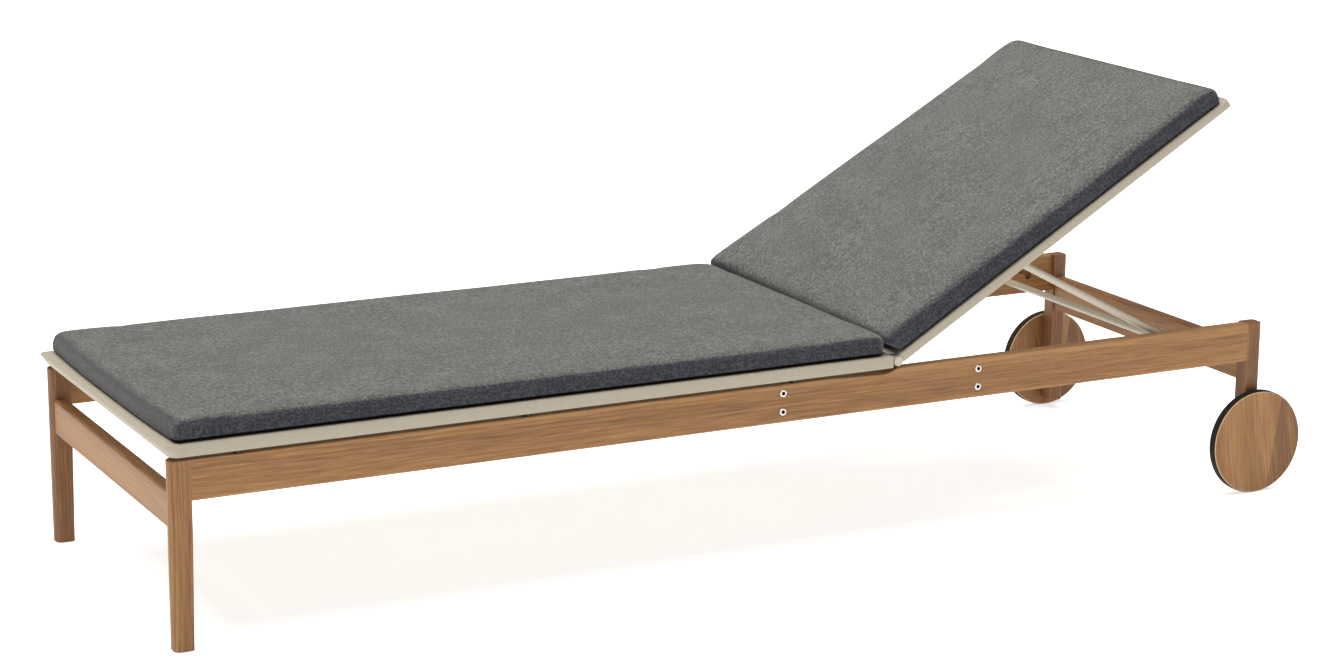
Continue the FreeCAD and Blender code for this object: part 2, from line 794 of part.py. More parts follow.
def seatSling():
    body = seatFrame.sling()
    drillForScrews(body, "barBottom", "clothThickness", "screwRadius + fitGap")
    leftSpots = [(across, f"-({up})") for across, up in screwSpots]
    left = circles(body, "XY_Plane", "barBottom", leftSpots, "screwRadius + fitGap")
    pocket(body, left, "clothThickness")
    return body


def seatSideTube():
    body = seatFrame.sideTube()
    drillForScrews(body, "barBottom + tubeMargin", "tubeWall", "screwRadius + fitGap")
    return body


def seatSpacers():
    """Rings that lift the seat's bars off the rail."""
    body = newBody("seat_spacers_right")
    pad(body, circles(body, "XY_Plane", "seatRailTop", screwSpots, "spacerRadius"), "shadowGap")
    bore = circles(body, "XY_Plane", "seatRailTop", screwSpots, "screwRadius + fitGap")
    pocket(body, bore, "shadowGap")
    return body


def seatScrews():
    """Screws from inside the seat's side tube down into the rail."""
    body = newBody("seat_screws_right")
    head = "barBottom + tubeMargin + tubeWall"
    point = "seatRailTop - screwDepth + screwHeadHeight"
    pad(body, circles(body, "XY_Plane", point, screwSpots, "screwRadius"), f"{head} - ({point})")
    pad(body, circles(body, "XY_Plane", head, screwSpots, "screwHeadRadius"), "screwHeadHeight")
    return body


def backSling():
    """The back's sling, with a hole in each hem for the prop's pivot."""
    body = backFrame.sling()
    for level in ("barInner", "-barInner - clothThickness"):
        hole = circles(body, "XZ_Plane", level, [("pivotReach", "0")], "pivotBoltRadius + fitGap")
        pocket(body, hole, "clothThickness")
    standOnBack(body)
    return body


def backSideTube():
    """The back's side tube, which ends in an eye for the hinge's bush."""
    body = backFrame.sideTube()
    eye = [("0", "0")]
    neck = "backBarHeight / 2 - tubeMargin"
    end = "hingeClear + tubeWall"
    pad(body, circles(body, "XZ_Plane", "barInner", eye, "earRadius"), "barWidth")
    width = "barWidth - 2 * tubeMargin"
    pad(body, box(body, "XZ_Plane", "barInner + tubeMargin", "0", end, f"-({neck})", neck), width)
    bore = circles(body, "XZ_Plane", "barInner", eye, "pinRadius + bushWall + runningGap")
    pocket(body, bore, "barWidth - pinEnd + fitGap")
    pivot = [("pivotReach", "0")]
    hole = circles(body, "XZ_Plane", "barInner + tubeMargin", pivot, "pivotBoltRadius + fitGap")
    pocket(body, hole, "tubeWall")
    standOnBack(body)
    return body


keep(seatSling())
keepPair(seatSideTube())
keep(seatFrame.crossTube("seat_foot_tube", seatFrame.noseOutline))
keep(seatFrame.crossTube("seat_hinge_tube", seatFrame.endOutline))
keepPair(seatSpacers())
keepPair(seatScrews())

keep(backSling())
keepPair(backSideTube())
backTopTube = backFrame.crossTube("back_top_tube", backFrame.noseOutline)
backHingeTube = backFrame.crossTube("back_hinge_tube", backFrame.endOutline)
for backTube in (backTopTube, backHingeTube):
    standOnBack(backTube)
    keep(backTube)

# ---- prop ----


def propArm():
    """A rod with a flattened, drilled end on the back, coped to fit round the crossbar at the other."""
    body = newBody("prop_arm_right")
    eyeSpot = [("0", "0")]
    eyeLevel = "armMiddle - armEyeWidth / 2"
    pad(body, circles(body, "XZ_Plane", eyeLevel, eyeSpot, "rodRadius"), "armEyeWidth")
    flat = box(body, "XZ_Plane", eyeLevel, "0", "armRodStart", "-rodRadius", "rodRadius")
    pad(body, flat, "armEyeWidth")
    rod = circles(body, "YZ_Plane", "armRodStart", [("armMiddle", "0")], "rodRadius")
    pad(body, rod, "armLength - armRodStart")
    bore = circles(body, "XZ_Plane", eyeLevel, eyeSpot, "pivotBoltRadius + runningGap")
    pocket(body, bore, "armEyeWidth")
    copeLevel = "armMiddle - 2 * rodRadius"
    cope = circles(body, "XZ_Plane", copeLevel, [("armLength", "0")], "rodRadius + runningGap")
    pocket(body, cope, "4 * rodRadius")
    hangOnProp(body)
    return body


def propCrossbar():
    """The bar that drops into the notches, with its ends just clear of the rails."""
    body = newBody("prop_crossbar")
    reach = "railInner - crossbarEndGap"
    pad(body, circles(body, "XZ_Plane", f"-({reach})", [("armLength", "0")], "rodRadius"), f"2 * ({reach})")
    ends = []
    for side in ("1", "-1"):
        ends.append(("armLength + rodRadius", f"{side} * ({reach})", "0"))
    bevelEdges(body, ends, "edgeBevel")
    hangOnProp(body)
    return body


def pivotBolt():
    """A bolt from inside the arm through its eye and a spacer into the back's side tube."""
    body = newBody("prop_pivot_bolt_right")
    spot = [("pivotReach", "0")]
    inner = "armMiddle - armEyeWidth / 2 - runningGap"
    head = circles(body, "XZ_Plane", f"{inner} - pivotHeadHeight", spot, "2 * pivotBoltRadius")
    pad(body, head, "pivotHeadHeight")
    shank = circles(body, "XZ_Plane", inner, spot, "pivotBoltRadius")
    pad(body, shank, f"halfWidth - pivotBoltEnd - ({inner})")
    standOnBack(body)
    return body


def pivotSpacer():
    body = newBody("prop_spacer_right")
    spot = [("pivotReach", "0")]
    start = "armMiddle + armEyeWidth / 2 + pivotSpacerGap"
    length = f"barInner - ({start})"
    pad(body, circles(body, "XZ_Plane", start, spot, "2 * pivotBoltRadius"), length)
    pocket(body, circles(body, "XZ_Plane", start, spot, "pivotBoltRadius + fitGap"), length)
    standOnBack(body)
    return body


keepPair(propArm())
keep(propCrossbar())
keepPair(pivotBolt())
keepPair(pivotSpacer())

# ---- wheels ----

wheelInner = "halfWidth + wheelGap"
wheelOuter = "halfWidth + wheelGap + wheelThickness"


def setOnAxle(body):
    """Moves a piece drawn round the Y axis to the wheel's axle."""
    body.setExpression("Placement.Base.x", bound("axleX"))
    body.setExpression("Placement.Base.z", bound("wheelRadius"))


def wheelDisc():
    """A turned wooden disc with a groove for the tyre and a blind bore for the bush."""
    body = newBody("wheel_disc_right")
    rim = "wheelRadius - discInset"
    floor = "wheelRadius - tyreDepth"
    bore = "axleRadius + wheelBushWall"
    boreEnd = f"{wheelInner} + wheelBushLength"
    grooveStart = f"{wheelInner} + discFlange"
    grooveEnd = f"{wheelOuter} - discFlange"
    corners = [(boreEnd, "0"), (wheelOuter, "0"), (wheelOuter, f"{rim} - discChamfer")]
    corners += [(f"{wheelOuter} - discChamfer", rim), (grooveEnd, rim), (grooveEnd, floor)]
    corners += [(grooveStart, floor), (grooveStart, rim), (f"{wheelInner} + discChamfer", rim)]
    corners += [(wheelInner, f"{rim} - discChamfer"), (wheelInner, bore), (boreEnd, bore)]
    revolve(body, outline(body, "YZ_Plane", "0", corners))
    setOnAxle(body)
    return body


def tyre():
    """A rubber ring that stands a little proud of the disc."""
    body = newBody("tyre_right")
    inner = "wheelRadius - tyreDepth + fitGap"
    start = f"{wheelInner} + discFlange + fitGap"
    end = f"{wheelOuter} - discFlange - fitGap"
    corners = [(start, inner), (end, inner), (end, "wheelRadius - tyreBevel")]
    corners += [(f"{end} - tyreBevel", "wheelRadius"), (f"{start} + tyreBevel", "wheelRadius")]
    corners += [(start, "wheelRadius - tyreBevel")]
    revolve(body, outline(body, "YZ_Plane", "0", corners))
    setOnAxle(body)
    return body


def ring(label, start, end, inner, outer):
    """A ring round the wheel's axle."""
    body = newBody(label)
    revolve(body, outline(body, "YZ_Plane", "0", [(start, inner), (end, inner), (end, outer), (start, outer)]))
    setOnAxle(body)
    return body


def axle():
    """A shaft through the head leg, with its head inside the leg."""
    body = newBody("axle_right")
    start = "legInner - axleHeadHeight"
    end = f"{wheelInner} + axleReach"
    corners = [(start, "0"), (end, "0"), (end, "axleRadius"), ("legInner", "axleRadius")]
    corners += [("legInner", "axleHeadRadius"), (start, "axleHeadRadius")]
    revolve(body, outline(body, "YZ_Plane", "0", corners))
    setOnAxle(body)
    return body


bushEnd = f"{wheelInner} + wheelBushLength"
bushOuter = "axleRadius + wheelBushWall"
spacerEnd = f"{wheelInner} - wheelEndGap"
keepPair(wheelDisc())
keepPair(tyre())
keepPair(ring("wheel_bush_right", wheelInner, bushEnd, "axleRadius + runningGap", bushOuter))
keepPair(axle())
keepPair(ring("axle_spacer_right", "halfWidth", spacerEnd, "axleRadius + fitGap", "axleHeadRadius"))

# ---- cushions ----


def cushion(label, start, end, bottom, thickness):
    """A flat pad with round corners and bevelled edges."""
    body = newBody(label)
    side = "halfWidth - cushionSideInset"
    corner = "cushionCorner"
    corners = [(start, f"-({side})", corner), (end, f"-({side})", corner)]
    corners += [(end, side, corner), (start, side, corner)]
    pad(body, outline(body, "XY_Plane", bottom, corners), thickness)
    midway = f"(({start}) + ({end})) / 2"
    for level in (bottom, f"{bottom} + {thickness}"):
        spots = [(midway, side, level), (start, "0", level)]
        bevelEdges(body, spots, "cushionBevel")
    return body


seatTop = "barBottom + barHeight + softGap"
seatPad = ("seatNose + cushionFootInset", "seatEnd - cushionHeadInset")
keep(cushion("seat_cushion", *seatPad, seatTop, "cushionThickness"))
backPad = cushion("back_cushion", "backCushionStart", "backLength - backCushionEnd",
                  "backBarHeight / 2 + softGap", "backCushionThickness")
standOnBack(backPad)
keep(backPad)

# ---- check and write ----

doc.recompute()
for item in doc.Objects:
    if "Invalid" in item.State or "Error" in item.State:
        raise RuntimeError(f"{item.Name}: {item.State}")
for label, item in pieces.items():
    if item.Shape.isNull() or not item.Shape.isValid():
        raise RuntimeError(f"{label} has no valid shape")

os.makedirs("parts", exist_ok=True)
for label, item in pieces.items():
    item.Shape.exportStep(f"parts/{label}.step")
    print(label, len(item.Shape.Solids), round(item.Shape.Volume))
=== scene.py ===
import json
import math
import bmesh
import bpy
from mathutils import Matrix, Vector, noise
from mathutils.bvhtree import BVHTree


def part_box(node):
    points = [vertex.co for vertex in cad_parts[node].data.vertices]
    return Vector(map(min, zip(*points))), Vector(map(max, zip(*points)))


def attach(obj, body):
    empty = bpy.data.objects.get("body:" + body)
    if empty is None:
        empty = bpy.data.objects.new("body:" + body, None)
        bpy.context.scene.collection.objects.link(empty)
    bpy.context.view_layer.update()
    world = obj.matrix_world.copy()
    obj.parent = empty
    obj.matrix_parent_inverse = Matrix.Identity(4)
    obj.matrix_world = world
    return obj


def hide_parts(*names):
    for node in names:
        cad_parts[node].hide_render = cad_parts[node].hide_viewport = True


# A reclining sun lounger: oiled teak frame, beige slings on coated steel tubes, grey cushions, disc wheels.
# X runs from the foot to the head, Z is up, lengths are metres unless a name says mm.

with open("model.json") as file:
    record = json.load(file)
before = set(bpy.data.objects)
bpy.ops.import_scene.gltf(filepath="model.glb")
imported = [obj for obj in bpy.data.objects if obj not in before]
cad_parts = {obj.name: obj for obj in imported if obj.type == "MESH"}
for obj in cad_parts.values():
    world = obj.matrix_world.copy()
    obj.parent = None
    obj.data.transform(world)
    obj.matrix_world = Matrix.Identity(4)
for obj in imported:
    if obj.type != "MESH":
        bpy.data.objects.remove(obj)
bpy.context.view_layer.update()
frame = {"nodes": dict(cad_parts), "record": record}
scene = bpy.context.scene
nodes = frame["nodes"]
behaviour = frame["record"]["behaviour"]
joints = {joint["name"]: joint for joint in behaviour["joints"]}
mm = 0.001

hinge = Vector(joints["recline"]["pos_m"])
restAngle = math.radians(-joints["recline"]["range_deg"][0])  # the back lies flat at the lower limit
backToWorld = Matrix.Translation(hinge) @ Matrix.Rotation(-restAngle, 4, "Y")
print("frame loaded:", len(nodes), "nodes")


def linear(hexColour):
    channels = [int(hexColour[i:i + 2], 16) / 255 for i in (0, 2, 4)]
    return [c / 12.92 if c <= 0.04045 else ((c + 0.055) / 1.055) ** 2.4 for c in channels] + [1]


def newMaterial(name):
    material = bpy.data.materials.new(name)
    material.use_nodes = True
    material.node_tree.nodes.clear()
    return material


def add(tree, kind, settings=None, links=None, stops=None):
    node = tree.nodes.new("ShaderNode" + kind)
    for key, value in (settings or {}).items():
        if isinstance(key, int) or key in node.inputs:
            node.inputs[key].default_value = value
        else:
            setattr(node, key, value)
    for key, source in (links or {}).items():
        tree.links.new(source, node.inputs[key])
    for index, (place, hexColour) in enumerate(stops or []):
        elements = node.color_ramp.elements
        element = elements[index] if index < 2 else elements.new(place)
        element.position = place
        element.color = linear(hexColour)
    return node


def finish(material, settings, links):
    # the surface's shader and the output
    tree = material.node_tree
    shader = add(tree, "BsdfPrincipled", settings, links)
    add(tree, "OutputMaterial", links={"Surface": shader.outputs[0]})
    return material


def waveScale(spacing):
    # a wave texture of this scale has its lines this many mm apart
    return 2 * math.pi / (20 * spacing * mm)


grainTurn = {"X": (0, 0, 0), "Y": (0, 0, -math.pi / 2), "Z": (0, math.pi / 2, 0)}

teakLook = {
    "pale": "A57B4C",
    "honey": "8E6439",
    "brown": "6C4829",
    "vein": "482C18",
    "pore": "5A3B26",
    "ringSpacing": 6.5,  # mm between the growth rings
    "ringStretch": 0.03,  # along the grain each pattern is drawn out to one over this
    "streakWidth": 2.6,  # mm, the soft stripes in the grain
    "streakStretch": 0.032,
    "poreWidth": 1.1,  # mm, real pores are 0.3 mm wide, drawn as coarse as the render shows
    "poreStretch": 0.05,
    "warp": 17.5,  # mm that the grain wanders at most
    "warpScale": (1.7, 11, 11),  # per metre, along the grain and across it
    "strongScale": 9,  # of the stretches where the late wood shows, before they are drawn out
    "broadScale": 22,
    "broadShare": 0.45,  # of the tone, from broad light and dark stretches
    "streakShare": 0.62,
    "toneShift": -0.05,
    "stops": (0.36, 0.51, 0.67),  # where brown, honey and pale lie in the tone
    "veinFrom": 0.45,  # of each ring, where the late wood starts
    "veinShare": 0.8,
    "veinLeast": 0.03,
    "strongBand": (0.46, 0.72),  # of the stretches, from weak late wood to strong
    "poreBand": (0.6, 0.72),
    "poreDepth": 0.4,
    "roughness": 0.5,
    "bump": 0.25,
}


# plantation teak, planed and sanded to 180 grit and oiled: satin, with long open pores along the grain
def teak(name, grain, place, pith, veins=0.5, tone=0.0, tilt=0.0):
    look = teakLook
    material = newMaterial("teak_" + name)
    tree = material.node_tree
    coords = add(tree, "TexCoord")
    turn = Vector(grainTurn[grain])
    turn.y += tilt
    along = add(tree, "Mapping", {"Rotation": turn, "Location": place}, {"Vector": coords.outputs["Object"]})
    # the grain wanders slowly along the board
    slow = add(tree, "Mapping", {"Scale": look["warpScale"]}, {"Vector": along.outputs[0]})
    wander = add(tree, "TexNoise", {"Scale": 1.0, "Detail": 2.5, "Roughness": 0.55},
                 {"Vector": slow.outputs[0]})
    centred = add(tree, "VectorMath", {"operation": "SUBTRACT", 1: (0.5, 0.5, 0.5)},
                  {0: wander.outputs["Color"]})
    shift = add(tree, "VectorMath", {"operation": "MULTIPLY", 1: [look["warp"] * mm] * 3},
                {0: centred.outputs[0]})
    grainAt = add(tree, "VectorMath", {"operation": "ADD"}, {0: along.outputs[0], 1: shift.outputs[0]})
    # growth rings round a pith that lies outside the board
    ringAt = add(tree, "Mapping", {"Location": pith, "Scale": (look["ringStretch"], 1, 1)},
                 {"Vector": grainAt.outputs[0]})
    rings = add(tree, "TexWave", {"wave_type": "RINGS", "rings_direction": "X", "wave_profile": "SAW",
                                  "Scale": waveScale(look["ringSpacing"]), "Distortion": 5.5, "Detail": 3,
                                  "Detail Scale": 1.3}, {"Vector": ringAt.outputs[0]})
    streakAt = add(tree, "Mapping", {"Scale": (look["streakStretch"], 1, 1)}, {"Vector": grainAt.outputs[0]})
    streaks = add(tree, "TexNoise", {"Scale": 1 / (look["streakWidth"] * mm), "Detail": 4, "Roughness": 0.6},
                  {"Vector": streakAt.outputs[0]})
    poreAt = add(tree, "Mapping", {"Scale": (look["poreStretch"], 1, 1)}, {"Vector": grainAt.outputs[0]})
    pores = add(tree, "TexNoise", {"Scale": 1 / (look["poreWidth"] * mm), "Detail": 2, "Roughness": 0.5},
                {"Vector": poreAt.outputs[0]})
    # broad light and dark stretches
    broad = add(tree, "TexNoise", {"Scale": look["broadScale"], "Detail": 2}, {"Vector": streakAt.outputs[0]})
    part = add(tree, "Math", {"operation": "MULTIPLY_ADD", 1: look["streakShare"],
                              2: tone + look["toneShift"]}, {0: streaks.outputs[0]})
    mixed = add(tree, "Math", {"operation": "MULTIPLY_ADD", 1: look["broadShare"]},
                {0: broad.outputs[0], 2: part.outputs[0]})
    low, mid, high = look["stops"]
    tones = add(tree, "ValToRGB", links={"Fac": mixed.outputs[0]},
                stops=[(low, look["brown"]), (high, look["pale"]), (mid, look["honey"])])
    # the late wood of each ring is a darker line, strong in some stretches only
    strongAt = add(tree, "TexNoise", {"Scale": look["strongScale"], "Detail": 1},
                   {"Vector": streakAt.outputs[0]})
    low, high = look["strongBand"]
    strong = add(tree, "MapRange", {"From Min": low, "From Max": high, "To Min": look["veinLeast"],
                                    "To Max": veins * look["veinShare"]}, {"Value": strongAt.outputs[0]})
    line = add(tree, "MapRange", {"From Min": look["veinFrom"]}, {"Value": rings.outputs["Fac"]})
    lineStrength = add(tree, "Math", {"operation": "MULTIPLY"}, {0: line.outputs[0], 1: strong.outputs[0]})
    lined = add(tree, "Mix", {"data_type": "RGBA", 7: linear(look["vein"])},
                {0: lineStrength.outputs[0], 6: tones.outputs[0]})
    low, high = look["poreBand"]
    dark = add(tree, "MapRange", {"From Min": low, "From Max": high, "To Max": look["poreDepth"]},
               {"Value": pores.outputs[0]})
    colour = add(tree, "Mix", {"data_type": "RGBA", 7: linear(look["pore"])},
                 {0: dark.outputs[0], 6: lined.outputs[2]})
    height = add(tree, "Math", {"operation": "SUBTRACT"}, {0: streaks.outputs[0], 1: dark.outputs[0]})
    bump = add(tree, "Bump", {"Strength": look["bump"], "Distance": 0.4 * mm}, {"Height": height.outputs[0]})
    rough = add(tree, "MapRange", {"From Min": 0.3, "From Max": 0.7, "To Min": look["roughness"] - 0.06,
                                   "To Max": look["roughness"] + 0.08}, {"Value": streaks.outputs[0]})
    return finish(material, {"IOR": 1.5, "Specular IOR Level": 0.35},
                  {"Base Color": colour.outputs[2], "Roughness": rough.outputs[0], "Normal": bump.outputs[0]})


def faceCoords(tree):
    # the two coordinates that lie in the face, whichever way it looks
    coords = add(tree, "TexCoord")
    normal = add(tree, "SeparateXYZ", links={0: coords.outputs["Normal"]})
    place = add(tree, "SeparateXYZ", links={0: coords.outputs["Object"]})
    inFace = []
    for axis in (0, 2):
        size = add(tree, "Math", {"operation": "ABSOLUTE"}, {0: normal.outputs[axis]})
        looks = add(tree, "Math", {"operation": "GREATER_THAN", 1: 0.7}, {0: size.outputs[0]})
        inFace.append(add(tree, "Mix", {"data_type": "FLOAT"},
                          {0: looks.outputs[0], 2: place.outputs[axis], 3: place.outputs[1]}))
    return coords, add(tree, "CombineXYZ", links={0: inFace[0].outputs[0], 1: inFace[1].outputs[0]})


def weave(tree, flat, spacing):
    # warp and weft, each a row of round threads
    threads = [add(tree, "TexWave", {"bands_direction": axis, "Scale": waveScale(spacing)},
                   {"Vector": flat.outputs[0]}) for axis in ("X", "Y")]
    return add(tree, "Math", {"operation": "MAXIMUM"},
               {0: threads[0].outputs["Fac"], 1: threads[1].outputs["Fac"]})


slingLook = {
    "yarn": "AEA696",
    "shade": "8B8374",
    "threadSpacing": 1.6,  # mm, real yarn is about 0.8 mm apart, drawn as coarse as the render shows
    "threadShare": 0.4,  # of the tone
    "unevenShare": 0.16,
    "unevenScale": 90,  # per metre
    "toneShift": 0.28,
    "roughness": 0.62,
}


# polyester yarn coated in vinyl, woven and heat set: a fine even grid with a slight plastic gloss
def slingMesh():
    look = slingLook
    material = newMaterial("coated_polyester_mesh")
    tree = material.node_tree
    coords, flat = faceCoords(tree)
    thread = weave(tree, flat, look["threadSpacing"])
    uneven = add(tree, "TexNoise", {"Scale": look["unevenScale"], "Detail": 3},
                 {"Vector": coords.outputs["Object"]})
    base = add(tree, "Math", {"operation": "MULTIPLY_ADD", 1: look["unevenShare"], 2: look["toneShift"]},
               {0: uneven.outputs[0]})
    toned = add(tree, "Math", {"operation": "MULTIPLY_ADD", 1: look["threadShare"]},
                {0: thread.outputs[0], 2: base.outputs[0]})
    tones = add(tree, "ValToRGB", links={"Fac": toned.outputs[0]},
                stops=[(0.25, look["shade"]), (0.8, look["yarn"])])
    bump = add(tree, "Bump", {"Strength": 0.3, "Distance": 0.25 * mm}, {"Height": thread.outputs[0]})
    return finish(material, {"Roughness": look["roughness"], "IOR": 1.5, "Specular IOR Level": 0.4},
                  {"Base Color": tones.outputs[0], "Normal": bump.outputs[0]})


clothLook = {
    "deep": ("272930", "33353C", "43454B"),  # dark, middle and light yarn on the sides
    "paintedTopLight": ("4C4F4C", "606361", "797B78"),  # the same yarns painted lighter where a face looks up: painted light
    "stops": (0.43, 0.51, 0.59),  # where the three yarns lie in the tone
    "topLightFrom": 0.7,  # how far a face looks up where the painted top light starts, 1 is level
    "topLightTo": 0.995,
    "fleck": 4.0,  # mm, real flecks are about 1 mm, drawn as coarse as the render shows
    "slubScale": (40, 420, 420),  # per metre, thick threads along the cushion
    "cloudScale": 14,  # per metre, slow changes
    "shares": {"slub": 0.2, "fleck": 0.7, "cloud": 0.1},
    "threadSpacing": 1.3,  # mm
    "fleckHeight": 3.0,  # against a thread's
    "sheen": 0.25,
    "sheenTint": "E9E8DC",
    "roughness": 0.95,
}


# solution-dyed acrylic in three greys spun together, plain weave: soft flecks and a pale bloom at low angles;
# faces that look up are painted lighter, painted light from above
def cushionCloth():
    look = clothLook
    material = newMaterial("acrylic_melange_cloth")
    tree = material.node_tree
    coords, flat = faceCoords(tree)
    fleck = add(tree, "TexNoise", {"Scale": 1 / (look["fleck"] * mm), "Detail": 2.5, "Roughness": 0.7},
                {"Vector": coords.outputs["Object"]})
    slubAt = add(tree, "Mapping", {"Scale": look["slubScale"]}, {"Vector": coords.outputs["Object"]})
    slub = add(tree, "TexNoise", {"Scale": 1, "Detail": 2}, {"Vector": slubAt.outputs[0]})
    cloud = add(tree, "TexNoise", {"Scale": look["cloudScale"], "Detail": 3},
                {"Vector": coords.outputs["Object"]})
    shares = look["shares"]
    toned = add(tree, "Math", {"operation": "MULTIPLY", 1: shares["slub"]}, {0: slub.outputs[0]})
    for share, source in ((shares["fleck"], fleck), (shares["cloud"], cloud)):
        toned = add(tree, "Math", {"operation": "MULTIPLY_ADD", 1: share},
                    {0: source.outputs[0], 2: toned.outputs[0]})
    low, mid, high = look["stops"]
    ramps = [add(tree, "ValToRGB", links={"Fac": toned.outputs[0]},
                 stops=[(low, dark), (high, light), (mid, middle)])
             for dark, middle, light in (look["deep"], look["paintedTopLight"])]
    # painted light: faces that look up take the lighter ramp, the sides the darker one
    facing = add(tree, "SeparateXYZ", links={0: coords.outputs["Normal"]})
    topLightShare = add(tree, "MapRange", {"From Min": look["topLightFrom"], "From Max": look["topLightTo"]},
                {"Value": facing.outputs[2]})
    tones = add(tree, "Mix", {"data_type": "RGBA"},
                {0: topLightShare.outputs[0], 6: ramps[0].outputs[0], 7: ramps[1].outputs[0]})
    thread = weave(tree, flat, look["threadSpacing"])
    height = add(tree, "Math", {"operation": "MULTIPLY_ADD", 1: look["fleckHeight"]},
                 {0: fleck.outputs[0], 2: thread.outputs[0]})
    bump = add(tree, "Bump", {"Strength": 0.5, "Distance": 0.4 * mm}, {"Height": height.outputs[0]})
    return finish(material, {"Roughness": look["roughness"], "IOR": 1.45, "Specular IOR Level": 0.2,
                             "Sheen Weight": look["sheen"], "Sheen Roughness": 0.5,
                             "Sheen Tint": linear(look["sheenTint"])},
                  {"Base Color": tones.outputs[2], "Normal": bump.outputs[0]})


coatLook = {
    "beige": "B9B1A1",
    "peelScale": 700,  # per metre, the bumps are about 1.4 mm across
    "dustScale": 18,
    "dustTone": 0.9,  # of the coat's own
    "roughness": 0.42,
    "bump": 0.12,
}


# powder coat over steel: an even satin skin with a slight orange peel
def coatedSteel():
    look = coatLook
    material = newMaterial("powder_coated_steel_beige")
    tree = material.node_tree
    coords = add(tree, "TexCoord")
    peel = add(tree, "TexNoise", {"Scale": look["peelScale"], "Detail": 2},
               {"Vector": coords.outputs["Object"]})
    dust = add(tree, "TexNoise", {"Scale": look["dustScale"], "Detail": 4},
               {"Vector": coords.outputs["Object"]})
    base = linear(look["beige"])
    dusty = [c * look["dustTone"] for c in base[:3]] + [1]
    tones = add(tree, "Mix", {"data_type": "RGBA", 6: dusty, 7: base}, {0: dust.outputs[0]})
    bump = add(tree, "Bump", {"Strength": look["bump"], "Distance": 0.1 * mm}, {"Height": peel.outputs[0]})
    return finish(material, {"Roughness": look["roughness"], "IOR": 1.5},
                  {"Base Color": tones.outputs[2], "Normal": bump.outputs[0]})


stainlessLook = {
    "dull": "BDBDBB",
    "bright": "D6D6D3",
    "scratchScale": (900, 120, 900),  # per metre, scratches 1.1 mm wide and 8 mm long
    "roughness": (0.22, 0.42),
    "bump": 0.05,
}


# cold-formed stainless steel, bright from the press with fine scratches
def stainlessSteel():
    look = stainlessLook
    material = newMaterial("stainless_steel")
    tree = material.node_tree
    coords = add(tree, "TexCoord")
    scratchAt = add(tree, "Mapping", {"Scale": look["scratchScale"]}, {"Vector": coords.outputs["Object"]})
    scratch = add(tree, "TexNoise", {"Scale": 1, "Detail": 3}, {"Vector": scratchAt.outputs[0]})
    smoothest, roughest = look["roughness"]
    rough = add(tree, "MapRange", {"To Min": smoothest, "To Max": roughest}, {"Value": scratch.outputs[0]})
    tones = add(tree, "Mix", {"data_type": "RGBA", 6: linear(look["dull"]), 7: linear(look["bright"])},
                {0: scratch.outputs[0]})
    bump = add(tree, "Bump", {"Strength": look["bump"], "Distance": 0.05 * mm},
               {"Height": scratch.outputs[0]})
    return finish(material, {"Metallic": 1.0},
                  {"Base Color": tones.outputs[2], "Roughness": rough.outputs[0], "Normal": bump.outputs[0]})


# moulded plastic or rubber with a fine spark texture from the tool
def moulded(name, hexColour, grit, roughness, bump, gloss=0.5):
    material = newMaterial(name)
    tree = material.node_tree
    coords = add(tree, "TexCoord")
    spark = add(tree, "TexNoise", {"Scale": 1 / (grit * mm), "Detail": 2},
                {"Vector": coords.outputs["Object"]})
    base = linear(hexColour)
    tones = add(tree, "Mix", {"data_type": "RGBA", 6: base, 7: [c * 1.7 for c in base[:3]] + [1]},
                {0: spark.outputs[0]})
    rough = add(tree, "MapRange", {"To Min": roughness - 0.1, "To Max": roughness + 0.1},
                {"Value": spark.outputs[0]})
    uneven = add(tree, "Bump", {"Strength": bump, "Distance": 0.1 * mm}, {"Height": spark.outputs[0]})
    return finish(material, {"IOR": 1.52, "Specular IOR Level": gloss},
                  {"Base Color": tones.outputs[2], "Roughness": rough.outputs[0],
                   "Normal": uneven.outputs[0]})


slingMaterial = slingMesh()
clothMaterial = cushionCloth()
beigeSteel = coatedSteel()
boltSteel = stainlessSteel()
# painted shade, near-black, in a bolt's recess and in a band under the cushions: both dull, with the same
# kind of grit
socketPaintedShade = moulded("painted_shade_socket", "070707", grit=0.4, roughness=0.8, bump=0.2, gloss=0.2)
# painted shade: the band under the cushions stands for the shade beneath them
undersidePaintedShade = moulded("painted_shade_underside", "050506", grit=1.4, roughness=0.9, bump=0.6, gloss=0.05)
# satin nylon and dull rubber
blackNylon = moulded("moulded_nylon_black", "141415", grit=0.5, roughness=0.5, bump=0.2)
tyreRubber = moulded("moulded_rubber_black", "0C0C0D", grit=0.8, roughness=0.8, bump=0.3, gloss=0.3)


def dress(node, material):
    obj = nodes[node]
    if not obj.data.materials:
        obj.data.materials.append(material)
    for index in range(len(obj.data.materials)):
        obj.data.materials[index] = material


teakPieces = {
    # node: grain, place in the log, pith, veins, tone
    "side_rail_left": ("X", (0.3, 0.1, 0.2), (0, 0.02, -0.19), 0.75, 0.06),
    "side_rail_right": ("X", (3.1, 0.7, 0.6), (0, 0.05, 0.1), 0.5, 0.0),
    "foot_crossrail": ("Y", (1.7, 0.4, 0.9), (0, 0.03, -0.2), 0.35, 0.0),
    "head_crossrail": ("Y", (5.3, 0.2, 0.1), (0, 0.06, 0.1), 0.5, -0.02),
    "foot_leg_left": ("Z", (2.2, 0.9, 0.3), (0, 0.04, 0.02), 0.45, -0.02),
    "foot_leg_right": ("Z", (7.4, 0.3, 0.5), (0, -0.05, 0.04), 0.45, -0.08),
    "head_leg_left": ("Z", (4.6, 0.6, 0.7), (0, 0.03, 0.05), 0.6, -0.13),
    "head_leg_right": ("Z", (9.8, 0.5, 0.8), (0, -0.02, 0.06), 0.5, -0.1),
}
for node, (grain, place, pith, veins, tone) in teakPieces.items():
    dress(node, teak(node, grain, place, pith, veins, tone))

